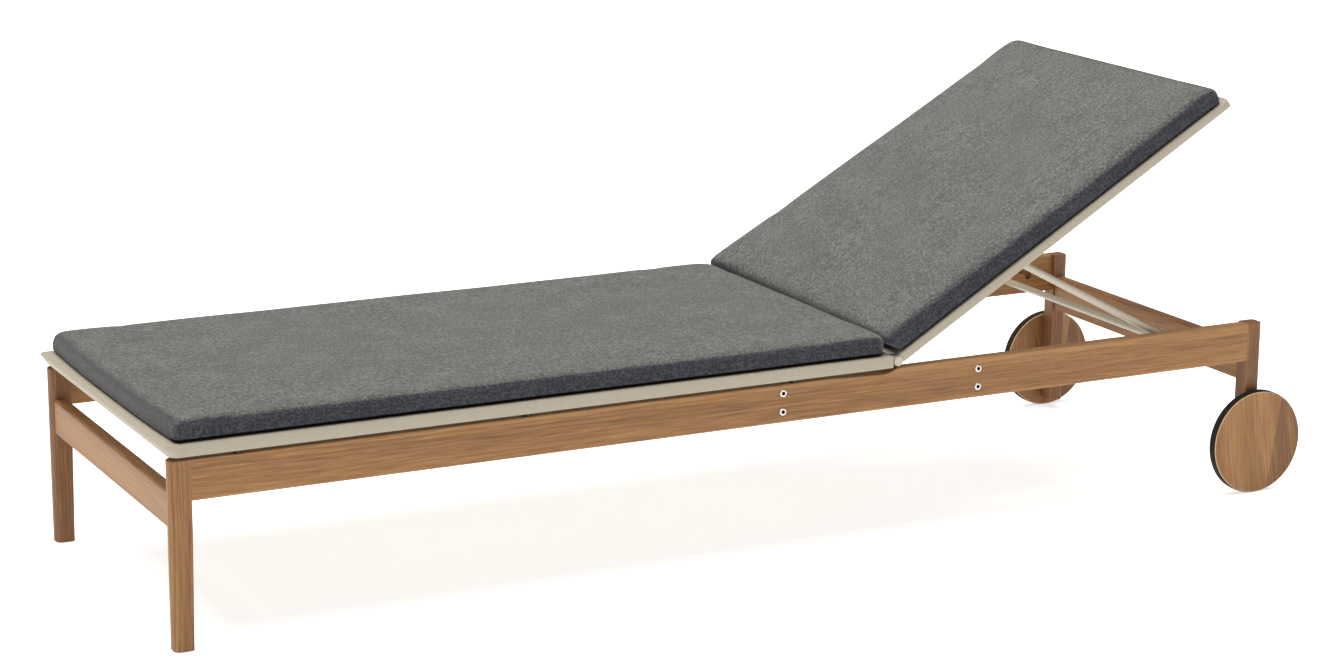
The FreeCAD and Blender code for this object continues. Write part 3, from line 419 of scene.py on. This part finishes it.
wheelLook = {
    "tilt": math.radians(9),  # how far the boards lean from upright at rest
    "seam": 36 * mm,  # from the axle to the glue line
    "pith": (0, 0.05, 0.03),
    "veins": 0.45,
    "tone": 0.05,
    "secondTone": -0.13,  # added beyond the glue line
    "secondPlace": (0.31, 0.17, 0.23),  # how far off in the log the second board was cut
    "edge": "D2B48C",
    "edgeShare": 0.7,
    "edgeBand": (0.95, 0.8),  # how squarely a face looks outward, from the flat to the chamfer
}


# two boards glued edge to edge: the grain and the tone change at the glue line
def wheelBoards(side, place):
    look = wheelLook
    material = teak("wheel_" + side, "Z", place, look["pith"], look["veins"], look["tone"], look["tilt"])
    tree = material.node_tree
    ramp = next(node for node in tree.nodes if node.type == "VALTORGB")
    low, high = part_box("wheel_disc_" + side)
    centre = (low + high) / 2
    coords = add(tree, "TexCoord")
    across = Vector((math.cos(look["tilt"]), 0, -math.sin(look["tilt"])))
    seamAt = centre.x * math.cos(look["tilt"]) - centre.z * math.sin(look["tilt"]) + look["seam"]
    turned = add(tree, "VectorMath", {"operation": "DOT_PRODUCT", 1: across}, {0: coords.outputs["Object"]})
    second = add(tree, "Math", {"operation": "GREATER_THAN", 1: seamAt}, {0: turned.outputs["Value"]})
    darker = add(tree, "Math", {"operation": "MULTIPLY_ADD", 1: look["secondTone"]},
                 {0: second.outputs[0], 2: ramp.inputs["Fac"].links[0].from_socket})
    tree.links.new(darker.outputs[0], ramp.inputs["Fac"])
    along = next(node for node in tree.nodes
                 if node.type == "MAPPING" and node.inputs["Location"].default_value[0])
    jump = add(tree, "VectorMath", {"operation": "SCALE", 0: look["secondPlace"]},
               {"Scale": second.outputs[0]})
    moved = add(tree, "VectorMath", {"operation": "ADD"}, {0: coords.outputs["Object"], 1: jump.outputs[0]})
    tree.links.new(moved.outputs[0], along.inputs["Vector"])
    # the chamfer round the disc is coloured paler
    shader = next(node for node in tree.nodes if node.type == "BSDF_PRINCIPLED")
    facing = add(tree, "SeparateXYZ", links={0: coords.outputs["Normal"]})
    flat = add(tree, "Math", {"operation": "ABSOLUTE"}, {0: facing.outputs[1]})
    square, slanted = look["edgeBand"]
    edge = add(tree, "MapRange", {"From Min": square, "From Max": slanted, "To Max": look["edgeShare"]},
               {"Value": flat.outputs[0]})
    edged = add(tree, "Mix", {"data_type": "RGBA", 7: linear(look["edge"])},
                {0: edge.outputs[0], 6: shader.inputs["Base Color"].links[0].from_socket})
    tree.links.new(edged.outputs[2], shader.inputs["Base Color"])
    return material


sidePieces = (
    (tyreRubber, ("tyre_",)),
    (blackNylon, ("wheel_bush_", "axle_spacer_", "hinge_bush_", "prop_spacer_", "seat_spacers_")),
    (boltSteel, ("axle_", "hinge_pin_", "rail_nuts_", "seat_screws_", "prop_pivot_bolt_", "rail_bolts_")),
    (beigeSteel, ("hinge_plate_", "prop_arm_", "back_side_tube_", "seat_side_tube_")),
)
for side, place in (("left", (6.1, 0.2, 0.4)), ("right", (8.3, 0.8, 0.1))):
    dress("wheel_disc_" + side, wheelBoards(side, place))
    for material, stems in sidePieces:
        for stem in stems:
            dress(stem + side, material)
for node in ("prop_crossbar", "back_top_tube", "back_hinge_tube", "seat_foot_tube", "seat_hinge_tube"):
    dress(node, beigeSteel)
print("materials done")


def shadeSmooth(mesh):
    mesh.polygons.foreach_set("use_smooth", [True] * len(mesh.polygons))


def newObject(name, mesh, material):
    obj = bpy.data.objects.new(name, mesh)
    scene.collection.objects.link(obj)
    mesh.materials.append(material)
    return obj


def joinRows(mesh, rows):
    # the bands of faces between each closed row of points and the next
    bands = []
    for first, second in zip(rows, rows[1:]):
        corners = zip(first, first[1:] + first[:1], second[1:] + second[:1], second)
        bands.append([mesh.faces.new(four) for four in corners])
    return bands


def fromBmesh(mesh, name, material):
    bmesh.ops.recalc_face_normals(mesh, faces=mesh.faces)
    data = bpy.data.meshes.new(name)
    mesh.to_mesh(data)
    mesh.free()
    return newObject(name, data, material)


def apply(obj):
    # works the object's modifiers into its mesh
    graph = bpy.context.evaluated_depsgraph_get()
    mesh = bpy.data.meshes.new_from_object(obj.evaluated_get(graph), depsgraph=graph)
    obj.modifiers.clear()
    old = obj.data
    obj.data = mesh
    bpy.data.meshes.remove(old)


def localBox(node, matrix):
    # the node's lowest and highest corners along its own axes
    inverse = matrix.inverted()
    points = [inverse @ vertex.co for vertex in nodes[node].data.vertices]
    low = Vector([min(point[axis] for point in points) for axis in range(3)])
    high = Vector([max(point[axis] for point in points) for axis in range(3)])
    return low, high


cushions = {
    "seat_cushion": {
        "body": "frame",
        "matrix": Matrix.Identity(4),
        "cornersMm": (8, 17, 26, 8),  # plan radius at foot-left, head-left, head-right, foot-right
        "edgeMm": {"foot": 19, "head": 10, "side": 8},  # radius of the top edge
        "growMm": {"foot": 5, "head": 14, "side": 4},
        "bowMm": {"foot": 8, "head": 3},  # how far the end's middle stands out past its corners
        "crownMm": 3.0,
        "tuckMm": 0,  # how far the foot end slopes back under the cushion
        "riseMm": 0,  # how much thicker the foot end is
        "leanMm": 0,  # how much thicker the right side is there
        "shadeBandMm": 6,  # how far the painted shade band comes up the long sides
        "seed": 3,
        "seams": ("foot",),
    },
    "back_cushion": {
        "body": "backrest",
        "matrix": backToWorld,
        "cornersMm": (10, 9, 22, 10),
        "edgeMm": {"foot": 14, "head": 10, "side": 7},
        "growMm": {"foot": 17, "head": 3, "side": 4},
        "bowMm": {"foot": 2, "head": 1},
        "crownMm": 2.5,
        "tuckMm": 22,
        "riseMm": 6,
        "leanMm": 10,
        "shadeBandMm": 5,
        "seed": 11,
        "seams": ("foot", "head"),
    },
}

pad = {
    "underRadius": 5 * mm,  # of the bottom edge
    "least": 0.4 * mm,  # the tightest that a corner gets
    "cornerSteps": 10,
    "edgeSteps": 6,
    "endReach": 30 * mm,  # over which the side's edge radius turns into the end's
}

simulation = {
    "voxel": 5.5 * mm,
    "pressure": 4.0,
    "frames": 20,
    "quality": 5,
    "bending": 2,
    "cap": 4.0 * mm,  # how far the cover may swell
    "shrink": 1.5 * mm,  # how much smaller it starts
}


def planOutline(low, high, radii, inset):
    # a rectangle with its own radius at each corner, drawn inward by the inset
    corners = ((low.x, low.y, math.pi), (high.x, low.y, 1.5 * math.pi), (high.x, high.y, 0),
               (low.x, high.y, 0.5 * math.pi))
    points = []
    for (x, y, start), radius in zip(corners, radii):
        centre = Vector((x + radius if x == low.x else x - radius, y + radius if y == low.y else y - radius))
        left = max(radius - inset, pad["least"])
        centre += Vector((1 if x == low.x else -1, 1 if y == low.y else -1)) * (left - radius + inset)
        for step in range(pad["cornerSteps"] + 1):
            angle = start + math.pi / 2 * step / pad["cornerSteps"]
            points.append(centre + Vector((math.cos(angle), math.sin(angle))) * left)
    return points


def edgeRadius(point, low, high, radii):
    # the top edge's radius beside this place of the outline, eased round the corners
    foot = max(0, 1 - (point.x - low.x) / pad["endReach"])
    head = max(0, 1 - (high.x - point.x) / pad["endReach"])
    side = radii["side"]
    return (side + (radii["foot"] - side) * foot + (radii["head"] - side) * head) * mm


def padShape(name, low, high, look):
    # rings from the middle of the underside out, up and back over the top edge
    radii = [radius * mm for radius in look["cornersMm"]]
    outer = planOutline(low, high, radii, 0)
    turns = [math.pi / 2 * step / pad["edgeSteps"] for step in range(pad["edgeSteps"] + 1)]
    rings = [(False, 1 - math.sin(turn), 1 - math.cos(turn)) for turn in turns]
    rings += [(True, 1 - math.cos(turn), 1 - math.sin(turn)) for turn in turns]
    mesh = bmesh.new()
    rows = []
    for top, inward, drop in rings:
        row = []
        for index, point in enumerate(outer):
            radius = edgeRadius(point, low, high, look["edgeMm"]) if top else pad["underRadius"]
            inner = planOutline(low, high, radii, radius * inward)[index]
            z = high.z - radius * drop if top else low.z + radius * drop
            row.append(mesh.verts.new((inner.x, inner.y, z)))
        rows.append(row)
    joinRows(mesh, rows)
    mesh.faces.new(rows[0][::-1])
    mesh.faces.new(rows[-1])
    return fromBmesh(mesh, name, clothMaterial)


def inflate(obj):
    # the cover swells over its foam, as far as the cap
    remesh = obj.modifiers.new("remesh", "REMESH")
    remesh.mode = "VOXEL"
    remesh.voxel_size = simulation["voxel"]
    apply(obj)
    start = [vertex.co.copy() for vertex in obj.data.vertices]
    cloth = obj.modifiers.new("cloth", "CLOTH")
    cloth.settings.use_pressure = True
    cloth.settings.uniform_pressure_force = simulation["pressure"]
    cloth.settings.effector_weights.gravity = 0
    cloth.settings.quality = simulation["quality"]
    cloth.settings.bending_stiffness = simulation["bending"]
    cloth.point_cache.frame_start = 1
    cloth.point_cache.frame_end = simulation["frames"]
    for step in range(1, simulation["frames"] + 1):
        scene.frame_set(step)
    apply(obj)
    for vertex, origin in zip(obj.data.vertices, start):
        move = vertex.co - origin
        if move.length > simulation["cap"]:
            vertex.co = origin + move.normalized() * simulation["cap"]
    scene.frame_set(1)


settling = {
    "slopeHeight": 28 * mm,  # up to here the foot end may slope back
    "slopeReach": 60 * mm,  # and this far along the cushion
    "bowStart": 0.8,  # share of the half length where the end starts to bow
    "topUneven": 1.1 * mm,
    "topScale": (5, 6),  # per metre, along and across
    "sideUneven": 0.9 * mm,
    "sideScale": (9, 12),  # per metre, along and up
    "sideStart": 0.9,  # share of the half width where the side starts
}


def crownAndSettle(obj, low, high, look):
    # foam is a little thicker in the middle, lies flat underneath and is never quite even
    middle = (low + high) / 2
    half = (high - low) / 2
    for vertex in obj.data.vertices:
        co = vertex.co
        across = min(1, abs(co.y - middle.y) / half.y)
        along = min(1, abs(co.x - middle.x) / half.x)
        lift = max(0, (co.z - low.z) / (high.z - low.z))
        under = max(0, 1 - (co.z - low.z) / settling["slopeHeight"])
        co.x += look["tuckMm"] * mm * under * max(0, 1 - (co.x - low.x) / settling["slopeReach"])
        co.z += look["crownMm"] * mm * (1 - across ** 3) * (1 - along ** 8) * lift
        ahead = max(0, min(1, (co.x - low.x) / (high.x - low.x)))
        co.z += look["riseMm"] * mm * (1 - ahead) ** 1.5 * lift
        co.z += look["leanMm"] * mm * (co.y - low.y) / (high.y - low.y) * (1 - ahead) * lift
        end, inward = ("foot", 1) if co.x < middle.x else ("head", -1)
        atEnd = max(0, (along - settling["bowStart"]) / (1 - settling["bowStart"]))
        co.x += inward * look["bowMm"][end] * mm * across ** 3 * atEnd
        scaleX, scaleY = settling["topScale"]
        spot = Vector((co.x * scaleX, co.y * scaleY, look["seed"]))
        co.z += noise.noise(spot) * settling["topUneven"] * lift
        if abs(co.y - middle.y) > half.y * settling["sideStart"]:
            scaleX, scaleZ = settling["sideScale"]
            spot = Vector((co.x * scaleX, co.z * scaleZ, look["seed"] + 5))
            co.y += noise.noise(spot) * settling["sideUneven"]
        co.z = max(co.z, low.z)


seam = {
    "width": 3.2 * mm,
    "depth": 2.1 * mm,  # along each axis
    "reach": 12 * mm,  # from the corner to where the groove has run out
}


def sewSeams(obj, low, high, look):
    # an upright seam at each sewn corner draws the cloth in along a narrow groove
    corners = ((low.x, low.y, 1, 1), (high.x, low.y, -1, 1), (high.x, high.y, -1, -1), (low.x, high.y, 1, -1))
    spots = []
    for (x, y, inX, inY), radius in zip(corners, look["cornersMm"]):
        if ("foot" if inX > 0 else "head") in look["seams"]:
            reach = radius * mm * (1 - math.sqrt(0.5))
            spots.append((x + inX * reach, y + inY * reach, inX, inY))
    for vertex in obj.data.vertices:
        for x, y, inX, inY in spots:
            aside = vertex.co.x - x
            beside = vertex.co.y - y
            away = math.hypot(aside, beside)
            # the groove runs along the diagonal plane of the corner
            across = abs(aside * inY - beside * inX) / math.sqrt(2)
            if away < seam["reach"] and across < 3 * seam["width"]:
                fade = math.exp(-(across / seam["width"]) ** 2 * 2) * (1 - away / seam["reach"])
                vertex.co.x += inX * seam["depth"] * fade
                vertex.co.y += inY * seam["depth"] * fade


underside = {
    "end": 2.5 * mm,  # how far the painted shade band comes up the ends
    "tuck": 1.5 * mm,  # how far it is drawn in under the cushion
    "sideWidth": 25 * mm,  # the strip that counts as the side
}


def paintUndersideShade(obj, low, high, side):
    # painted shade: the cushion's bottom is coloured near-black a little way up, standing for the shade under
    # it; the sides there are drawn in
    middle = (low.y + high.y) / 2
    reach = (high.y - low.y) / 2 - underside["sideWidth"]

    def bandAt(co):
        return side if abs(co.y - middle) > reach else underside["end"]

    obj.data.materials.append(undersidePaintedShade)
    for polygon in obj.data.polygons:
        if polygon.center.z - low.z < bandAt(polygon.center):
            polygon.material_index = 1
    for vertex in obj.data.vertices:
        band = bandAt(vertex.co)
        above = vertex.co.z - low.z
        if above < band and abs(vertex.co.y - middle) > reach:
            pull = underside["tuck"] * (1 - above / band)
            vertex.co.y += pull if vertex.co.y < middle else -pull


def makeCushion(name, look):
    low, high = localBox(name, look["matrix"])
    low.x -= look["growMm"]["foot"] * mm
    high.x += look["growMm"]["head"] * mm
    low.y -= look["growMm"]["side"] * mm
    high.y += look["growMm"]["side"] * mm
    start = simulation["shrink"]
    obj = padShape(name.replace("_cushion", "_pad"), low + Vector((start, start, 0)),
                   high - Vector((start, start, start)), look)
    inflate(obj)
    crownAndSettle(obj, low, high, look)
    smooth = obj.modifiers.new("smooth", "SUBSURF")
    smooth.levels = 1
    smooth.render_levels = 1
    apply(obj)
    sewSeams(obj, low, high, look)
    paintUndersideShade(obj, low, high, look["shadeBandMm"] * mm)
    shadeSmooth(obj.data)
    obj.matrix_world = look["matrix"]
    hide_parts(name)
    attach(obj, look["body"])
    print(name, "done:", len(obj.data.vertices), "points")
    return obj


def pressBack(name, otherName, clear):
    # where the other cushion leans on this one, its end gives way towards the foot
    matrix, otherMatrix = (cushions[key]["matrix"] for key in (name, otherName))
    other = pads[otherName].data
    points = [otherMatrix @ vertex.co for vertex in other.vertices]
    tree = BVHTree.FromPolygons(points, [polygon.vertices[:] for polygon in other.polygons])
    back = matrix.inverted()
    for vertex in pads[name].data.vertices:
        place, normal = tree.ray_cast(matrix @ vertex.co, Vector((-1, 0, 0)))[:2]
        if place is not None and normal.x < 0:
            vertex.co = back @ (place - Vector((clear, 0, 0)))


pads = {name: makeCushion(name, look) for name, look in cushions.items()}
pressBack("seat_cushion", "back_cushion", clear=0.5 * mm)
print("cushions done")


slings = {
    "seat_sling": {
        "body": "frame",
        "matrix": Matrix.Identity(4),
        "nose": -1,
        "rake": 14 * mm,  # how far the nose leans out from its bottom to its top
        "edge": 2.2 * mm,
        "rests": ("seat_side_tube_left", "seat_side_tube_right", "seat_foot_tube", "seat_hinge_tube"),
    },
    "back_sling": {
        "body": "backrest",
        "matrix": backToWorld,
        "nose": 1,
        "rake": -3 * mm,
        "edge": 3.6 * mm,
        "rests": ("back_side_tube_left", "back_side_tube_right", "back_top_tube", "back_hinge_tube"),
    },
}

bar = {
    "width": 19 * mm,
    "noseCorner": 15 * mm,
    "endCorner": 2 * mm,
    "cloth": 1.0 * mm,
    "sag": 5 * mm,
    "panelInset": 34 * mm,
    "lap": 3 * mm,  # how far the cloth lies flat past the bar before it sags
    "hemEnd": 2.5 * mm,  # how far below the top the hem ends
    "hemSteps": 4,
    "cornerSteps": 6,
    "alongCount": 48,
    "acrossCount": 24,
    "least": 0.3 * mm,  # the tightest that a corner gets
    "weld": 0.7 * mm,
}


def hemProfile(height, edge):
    # from the sling's top face over the bar, down outside, under it and up inside: (inward, height)
    width = bar["width"]
    points = [(bar["panelInset"], height), (width + bar["lap"], height)]
    for x, z, start in ((edge, height - edge, 90), (edge, edge, 180), (width - edge, edge, 270)):
        for step in range(bar["hemSteps"] + 1):
            angle = math.radians(start + 90 * step / bar["hemSteps"])
            points.append((x + edge * math.cos(angle), z + edge * math.sin(angle)))
    points.append((width, height - bar["hemEnd"]))
    return points


def hemLoop(low, high, look, inward, height):
    # one closed line round the frame at this inset and height, the nose edge raked
    nose = look["nose"]
    share = height / (high.z - low.z)
    rake = look["rake"] * (1 - share) if look["rake"] > 0 else -look["rake"] * share
    noseX = (high.x - rake) if nose > 0 else (low.x + rake)
    endX = low.x if nose > 0 else high.x
    corners = []
    for x, y, radius in ((endX, low.y, bar["endCorner"]), (noseX, low.y, bar["noseCorner"]),
                         (noseX, high.y, bar["noseCorner"]), (endX, high.y, bar["endCorner"])):
        inX = -1 if x == max(endX, noseX) else 1
        inY = 1 if y == low.y else -1
        left = max(radius - inward, bar["least"])
        move = left - radius + inward
        centre = Vector((x + inX * (radius + move), y + inY * (radius + move)))
        corners.append((centre, left, inX, inY))
    points = []
    for index, (centre, left, inX, inY) in enumerate(corners):
        alongX = index % 2 == 0
        for step in range(bar["cornerSteps"] + 1):
            angle = math.pi / 2 * step / bar["cornerSteps"]
            turn = (math.cos(angle), math.sin(angle)) if alongX else (math.sin(angle), math.cos(angle))
            points.append(centre + Vector((-inX * turn[0], -inY * turn[1])) * left)
        begin = points[-1]
        nextCentre, nextLeft, nextX, nextY = corners[(index + 1) % 4]
        if alongX:
            count = bar["alongCount"]
            end = Vector((nextCentre.x, nextCentre.y - nextY * nextLeft))
        else:
            count = bar["acrossCount"]
            end = Vector((nextCentre.x - nextX * nextLeft, nextCentre.y))
        points += [begin.lerp(end, step / count) for step in range(1, count)]
    return points


def addPanel(mesh, edge, top):
    # the cloth between the bars, a grid that sags a little
    left, right = min(point.x for point in edge), max(point.x for point in edge)
    near, far = min(point.y for point in edge), max(point.y for point in edge)
    grid = []
    for i in range(bar["alongCount"] + 1):
        line = []
        for j in range(bar["acrossCount"] + 1):
            u = i / bar["alongCount"]
            v = j / bar["acrossCount"]
            sag = bar["sag"] * math.sin(math.pi * u) ** 0.5 * math.sin(math.pi * v)
            line.append(mesh.verts.new((left + (right - left) * u, near + (far - near) * v, top - sag)))
        grid.append(line)
    for first, second in zip(grid, grid[1:]):
        for j in range(bar["acrossCount"]):
            mesh.faces.new((first[j], second[j], second[j + 1], first[j + 1]))


def makeSling(name, look):
    low, high = localBox(name, look["matrix"])
    tall = high.z - low.z
    mesh = bmesh.new()
    profile = hemProfile(tall, look["edge"])
    loops = [hemLoop(low, high, look, inward, height) for inward, height in profile]
    rows = [[mesh.verts.new((point.x, point.y, low.z + height)) for point in loop]
            for loop, (inward, height) in zip(loops, profile)]
    joinRows(mesh, rows)
    addPanel(mesh, loops[0], high.z)
    bmesh.ops.remove_doubles(mesh, verts=mesh.verts, dist=bar["weld"])
    obj = fromBmesh(mesh, name + "_cloth", slingMaterial)
    thick = obj.modifiers.new("cloth", "SOLIDIFY")
    thick.thickness = bar["cloth"]
    thick.offset = -1
    apply(obj)
    shadeSmooth(obj.data)
    obj.matrix_world = look["matrix"]
    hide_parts(name)
    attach(obj, look["body"])
    print(name, "done")


for slingName, look in slings.items():
    makeSling(slingName, look)


bolt = {
    "radius": 6 * mm,
    "head": 1.4 * mm,
    "shank": 3 * mm,
    "socket": 3.3 * mm,  # to the corners of the hexagon
    "socketDepth": 2.8 * mm,
    "steps": 24,
}


def boltRing(kind, size):
    # the points of a round or six-sided ring, as many of either
    points = []
    sixth = math.pi / 3
    for step in range(bolt["steps"]):
        angle = 2 * math.pi * step / bolt["steps"]
        reach = size
        if kind == "hexagon":
            reach = size * math.cos(sixth / 2) / math.cos(angle % sixth - sixth / 2)
        points.append((reach * math.cos(angle), reach * math.sin(angle)))
    return points


def makeBolts(side):
    node = "rail_bolts_" + side
    low, high = (Vector(corner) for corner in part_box(node))
    outward = -1 if side == "left" else 1
    face = (low.y if outward < 0 else high.y) - outward * bolt["head"]
    end = high.y if outward < 0 else low.y
    radius, head, socket = bolt["radius"], bolt["head"], bolt["socket"]
    profile = [  # ring, size, distance out from the rail's face
        ("round", bolt["shank"], outward * (end - face)),
        ("round", bolt["shank"], 0),
        ("round", radius, 0),
        ("round", radius, head * 0.45),
        ("round", radius - 0.35 * mm, head * 0.85),
        ("round", radius - 1.1 * mm, head),
        ("hexagon", socket + 0.3 * mm, head),
        ("hexagon", socket, head - 0.2 * mm),
        ("hexagon", socket, head - bolt["socketDepth"]),
        ("round", 0.4 * mm, head - bolt["socketDepth"] - 0.8 * mm),
    ]
    mesh = bmesh.new()
    for x in (low.x + radius, high.x - radius):
        for z in (low.z + radius, high.z - radius):
            rows = [[mesh.verts.new((x + a, face + outward * out, z + b)) for a, b in boltRing(kind, size)]
                    for kind, size, out in profile]
            # the socket's walls and floor take the near-black second material: painted shade
            for (kind, size, out), band in zip(profile, joinRows(mesh, rows)):
                for strip in band:
                    strip.material_index = int(kind == "hexagon")
            mesh.faces.new(rows[0])
            mesh.faces.new(rows[-1]).material_index = 1
    obj = fromBmesh(mesh, "bolts_" + side, boltSteel)
    obj.data.materials.append(socketPaintedShade)
    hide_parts(node)
    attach(obj, "frame")


for side in ("left", "right"):
    makeBolts(side)
print("bolts done")


camera = {
    "place": (-2.4137, -4.6138, 1.5971),
    "heading": 27.098,  # degrees from straight across the lounger
    "down": 13.898,
    "roll": -0.374,
    "focal": 87.79,  # mm on a 36 mm wide sensor
}


def makeCamera():
    heading = math.radians(camera["heading"])
    down = math.radians(camera["down"])
    roll = math.radians(camera["roll"])
    ahead = Vector((math.sin(heading) * math.cos(down), math.cos(heading) * math.cos(down), -math.sin(down)))
    right = Vector((math.cos(heading), -math.sin(heading), 0))
    up = right.cross(ahead)
    turned = right * math.cos(roll) - up * math.sin(roll)
    up = turned.cross(ahead)
    data = bpy.data.cameras.new("camera")
    data.sensor_width = 36
    data.lens = camera["focal"]
    obj = bpy.data.objects.new("camera", data)
    scene.collection.objects.link(obj)
    matrix = Matrix((turned, up, -ahead)).transposed().to_4x4()
    matrix.translation = Vector(camera["place"])
    obj.matrix_world = matrix
    scene.camera = obj


floorLook = {
    "size": 40,  # from the middle to the edge
    "colours": ("F4F4F4", "FAFAFA"),
    "fibreScale": 60,  # per metre
    "roughness": 0.95,
    "glow": 0.62,  # what the studio's other lamps add
}


def makeStage():
    mesh = bpy.data.meshes.new("floor")
    size = floorLook["size"]
    corners = [(-size, -size, 0), (size, -size, 0), (size, size, 0), (-size, size, 0)]
    mesh.from_pydata(corners, [], [(0, 1, 2, 3)])
    material = newMaterial("floor_paper")
    tree = material.node_tree
    coords = add(tree, "TexCoord")
    fibre = add(tree, "TexNoise", {"Scale": floorLook["fibreScale"], "Detail": 2},
                {"Vector": coords.outputs["Object"]})
    darker, lighter = (linear(colour) for colour in floorLook["colours"])
    tones = add(tree, "Mix", {"data_type": "RGBA", 6: darker, 7: lighter}, {0: fibre.outputs[0]})
    finish(material, {"Roughness": floorLook["roughness"], "Specular IOR Level": 0.1,
                      "Emission Color": linear("FFFFFF"), "Emission Strength": floorLook["glow"]},
           {"Base Color": tones.outputs[2]})
    floor = newObject("floor", mesh, material)


light = {
    "sunFrom": (-0.4, 0.2, 2.6),  # a wide soft source almost overhead, a little towards the foot
    "sunSpread": 55,  # degrees
    "sunStrength": 3.6,
    "sunColour": "FFFAF2",
    "world": 0.36,
    "worldColour": "F6F9FF",
}


def makeLights():
    data = bpy.data.lights.new("key", "SUN")
    data.angle = math.radians(light["sunSpread"])
    data.energy = light["sunStrength"]
    data.color = linear(light["sunColour"])[:3]
    obj = bpy.data.objects.new("key", data)
    scene.collection.objects.link(obj)
    obj.rotation_euler = (-Vector(light["sunFrom"])).to_track_quat("-Z", "Y").to_euler()
    world = bpy.data.worlds.new("studio")
    world.use_nodes = True
    background = world.node_tree.nodes["Background"]
    background.inputs["Color"].default_value = linear(light["worldColour"])
    background.inputs["Strength"].default_value = light["world"]
    scene.world = world
    scene.view_settings.view_transform = "Standard"


makeCamera()
makeStage()
makeLights()
print("stage done")
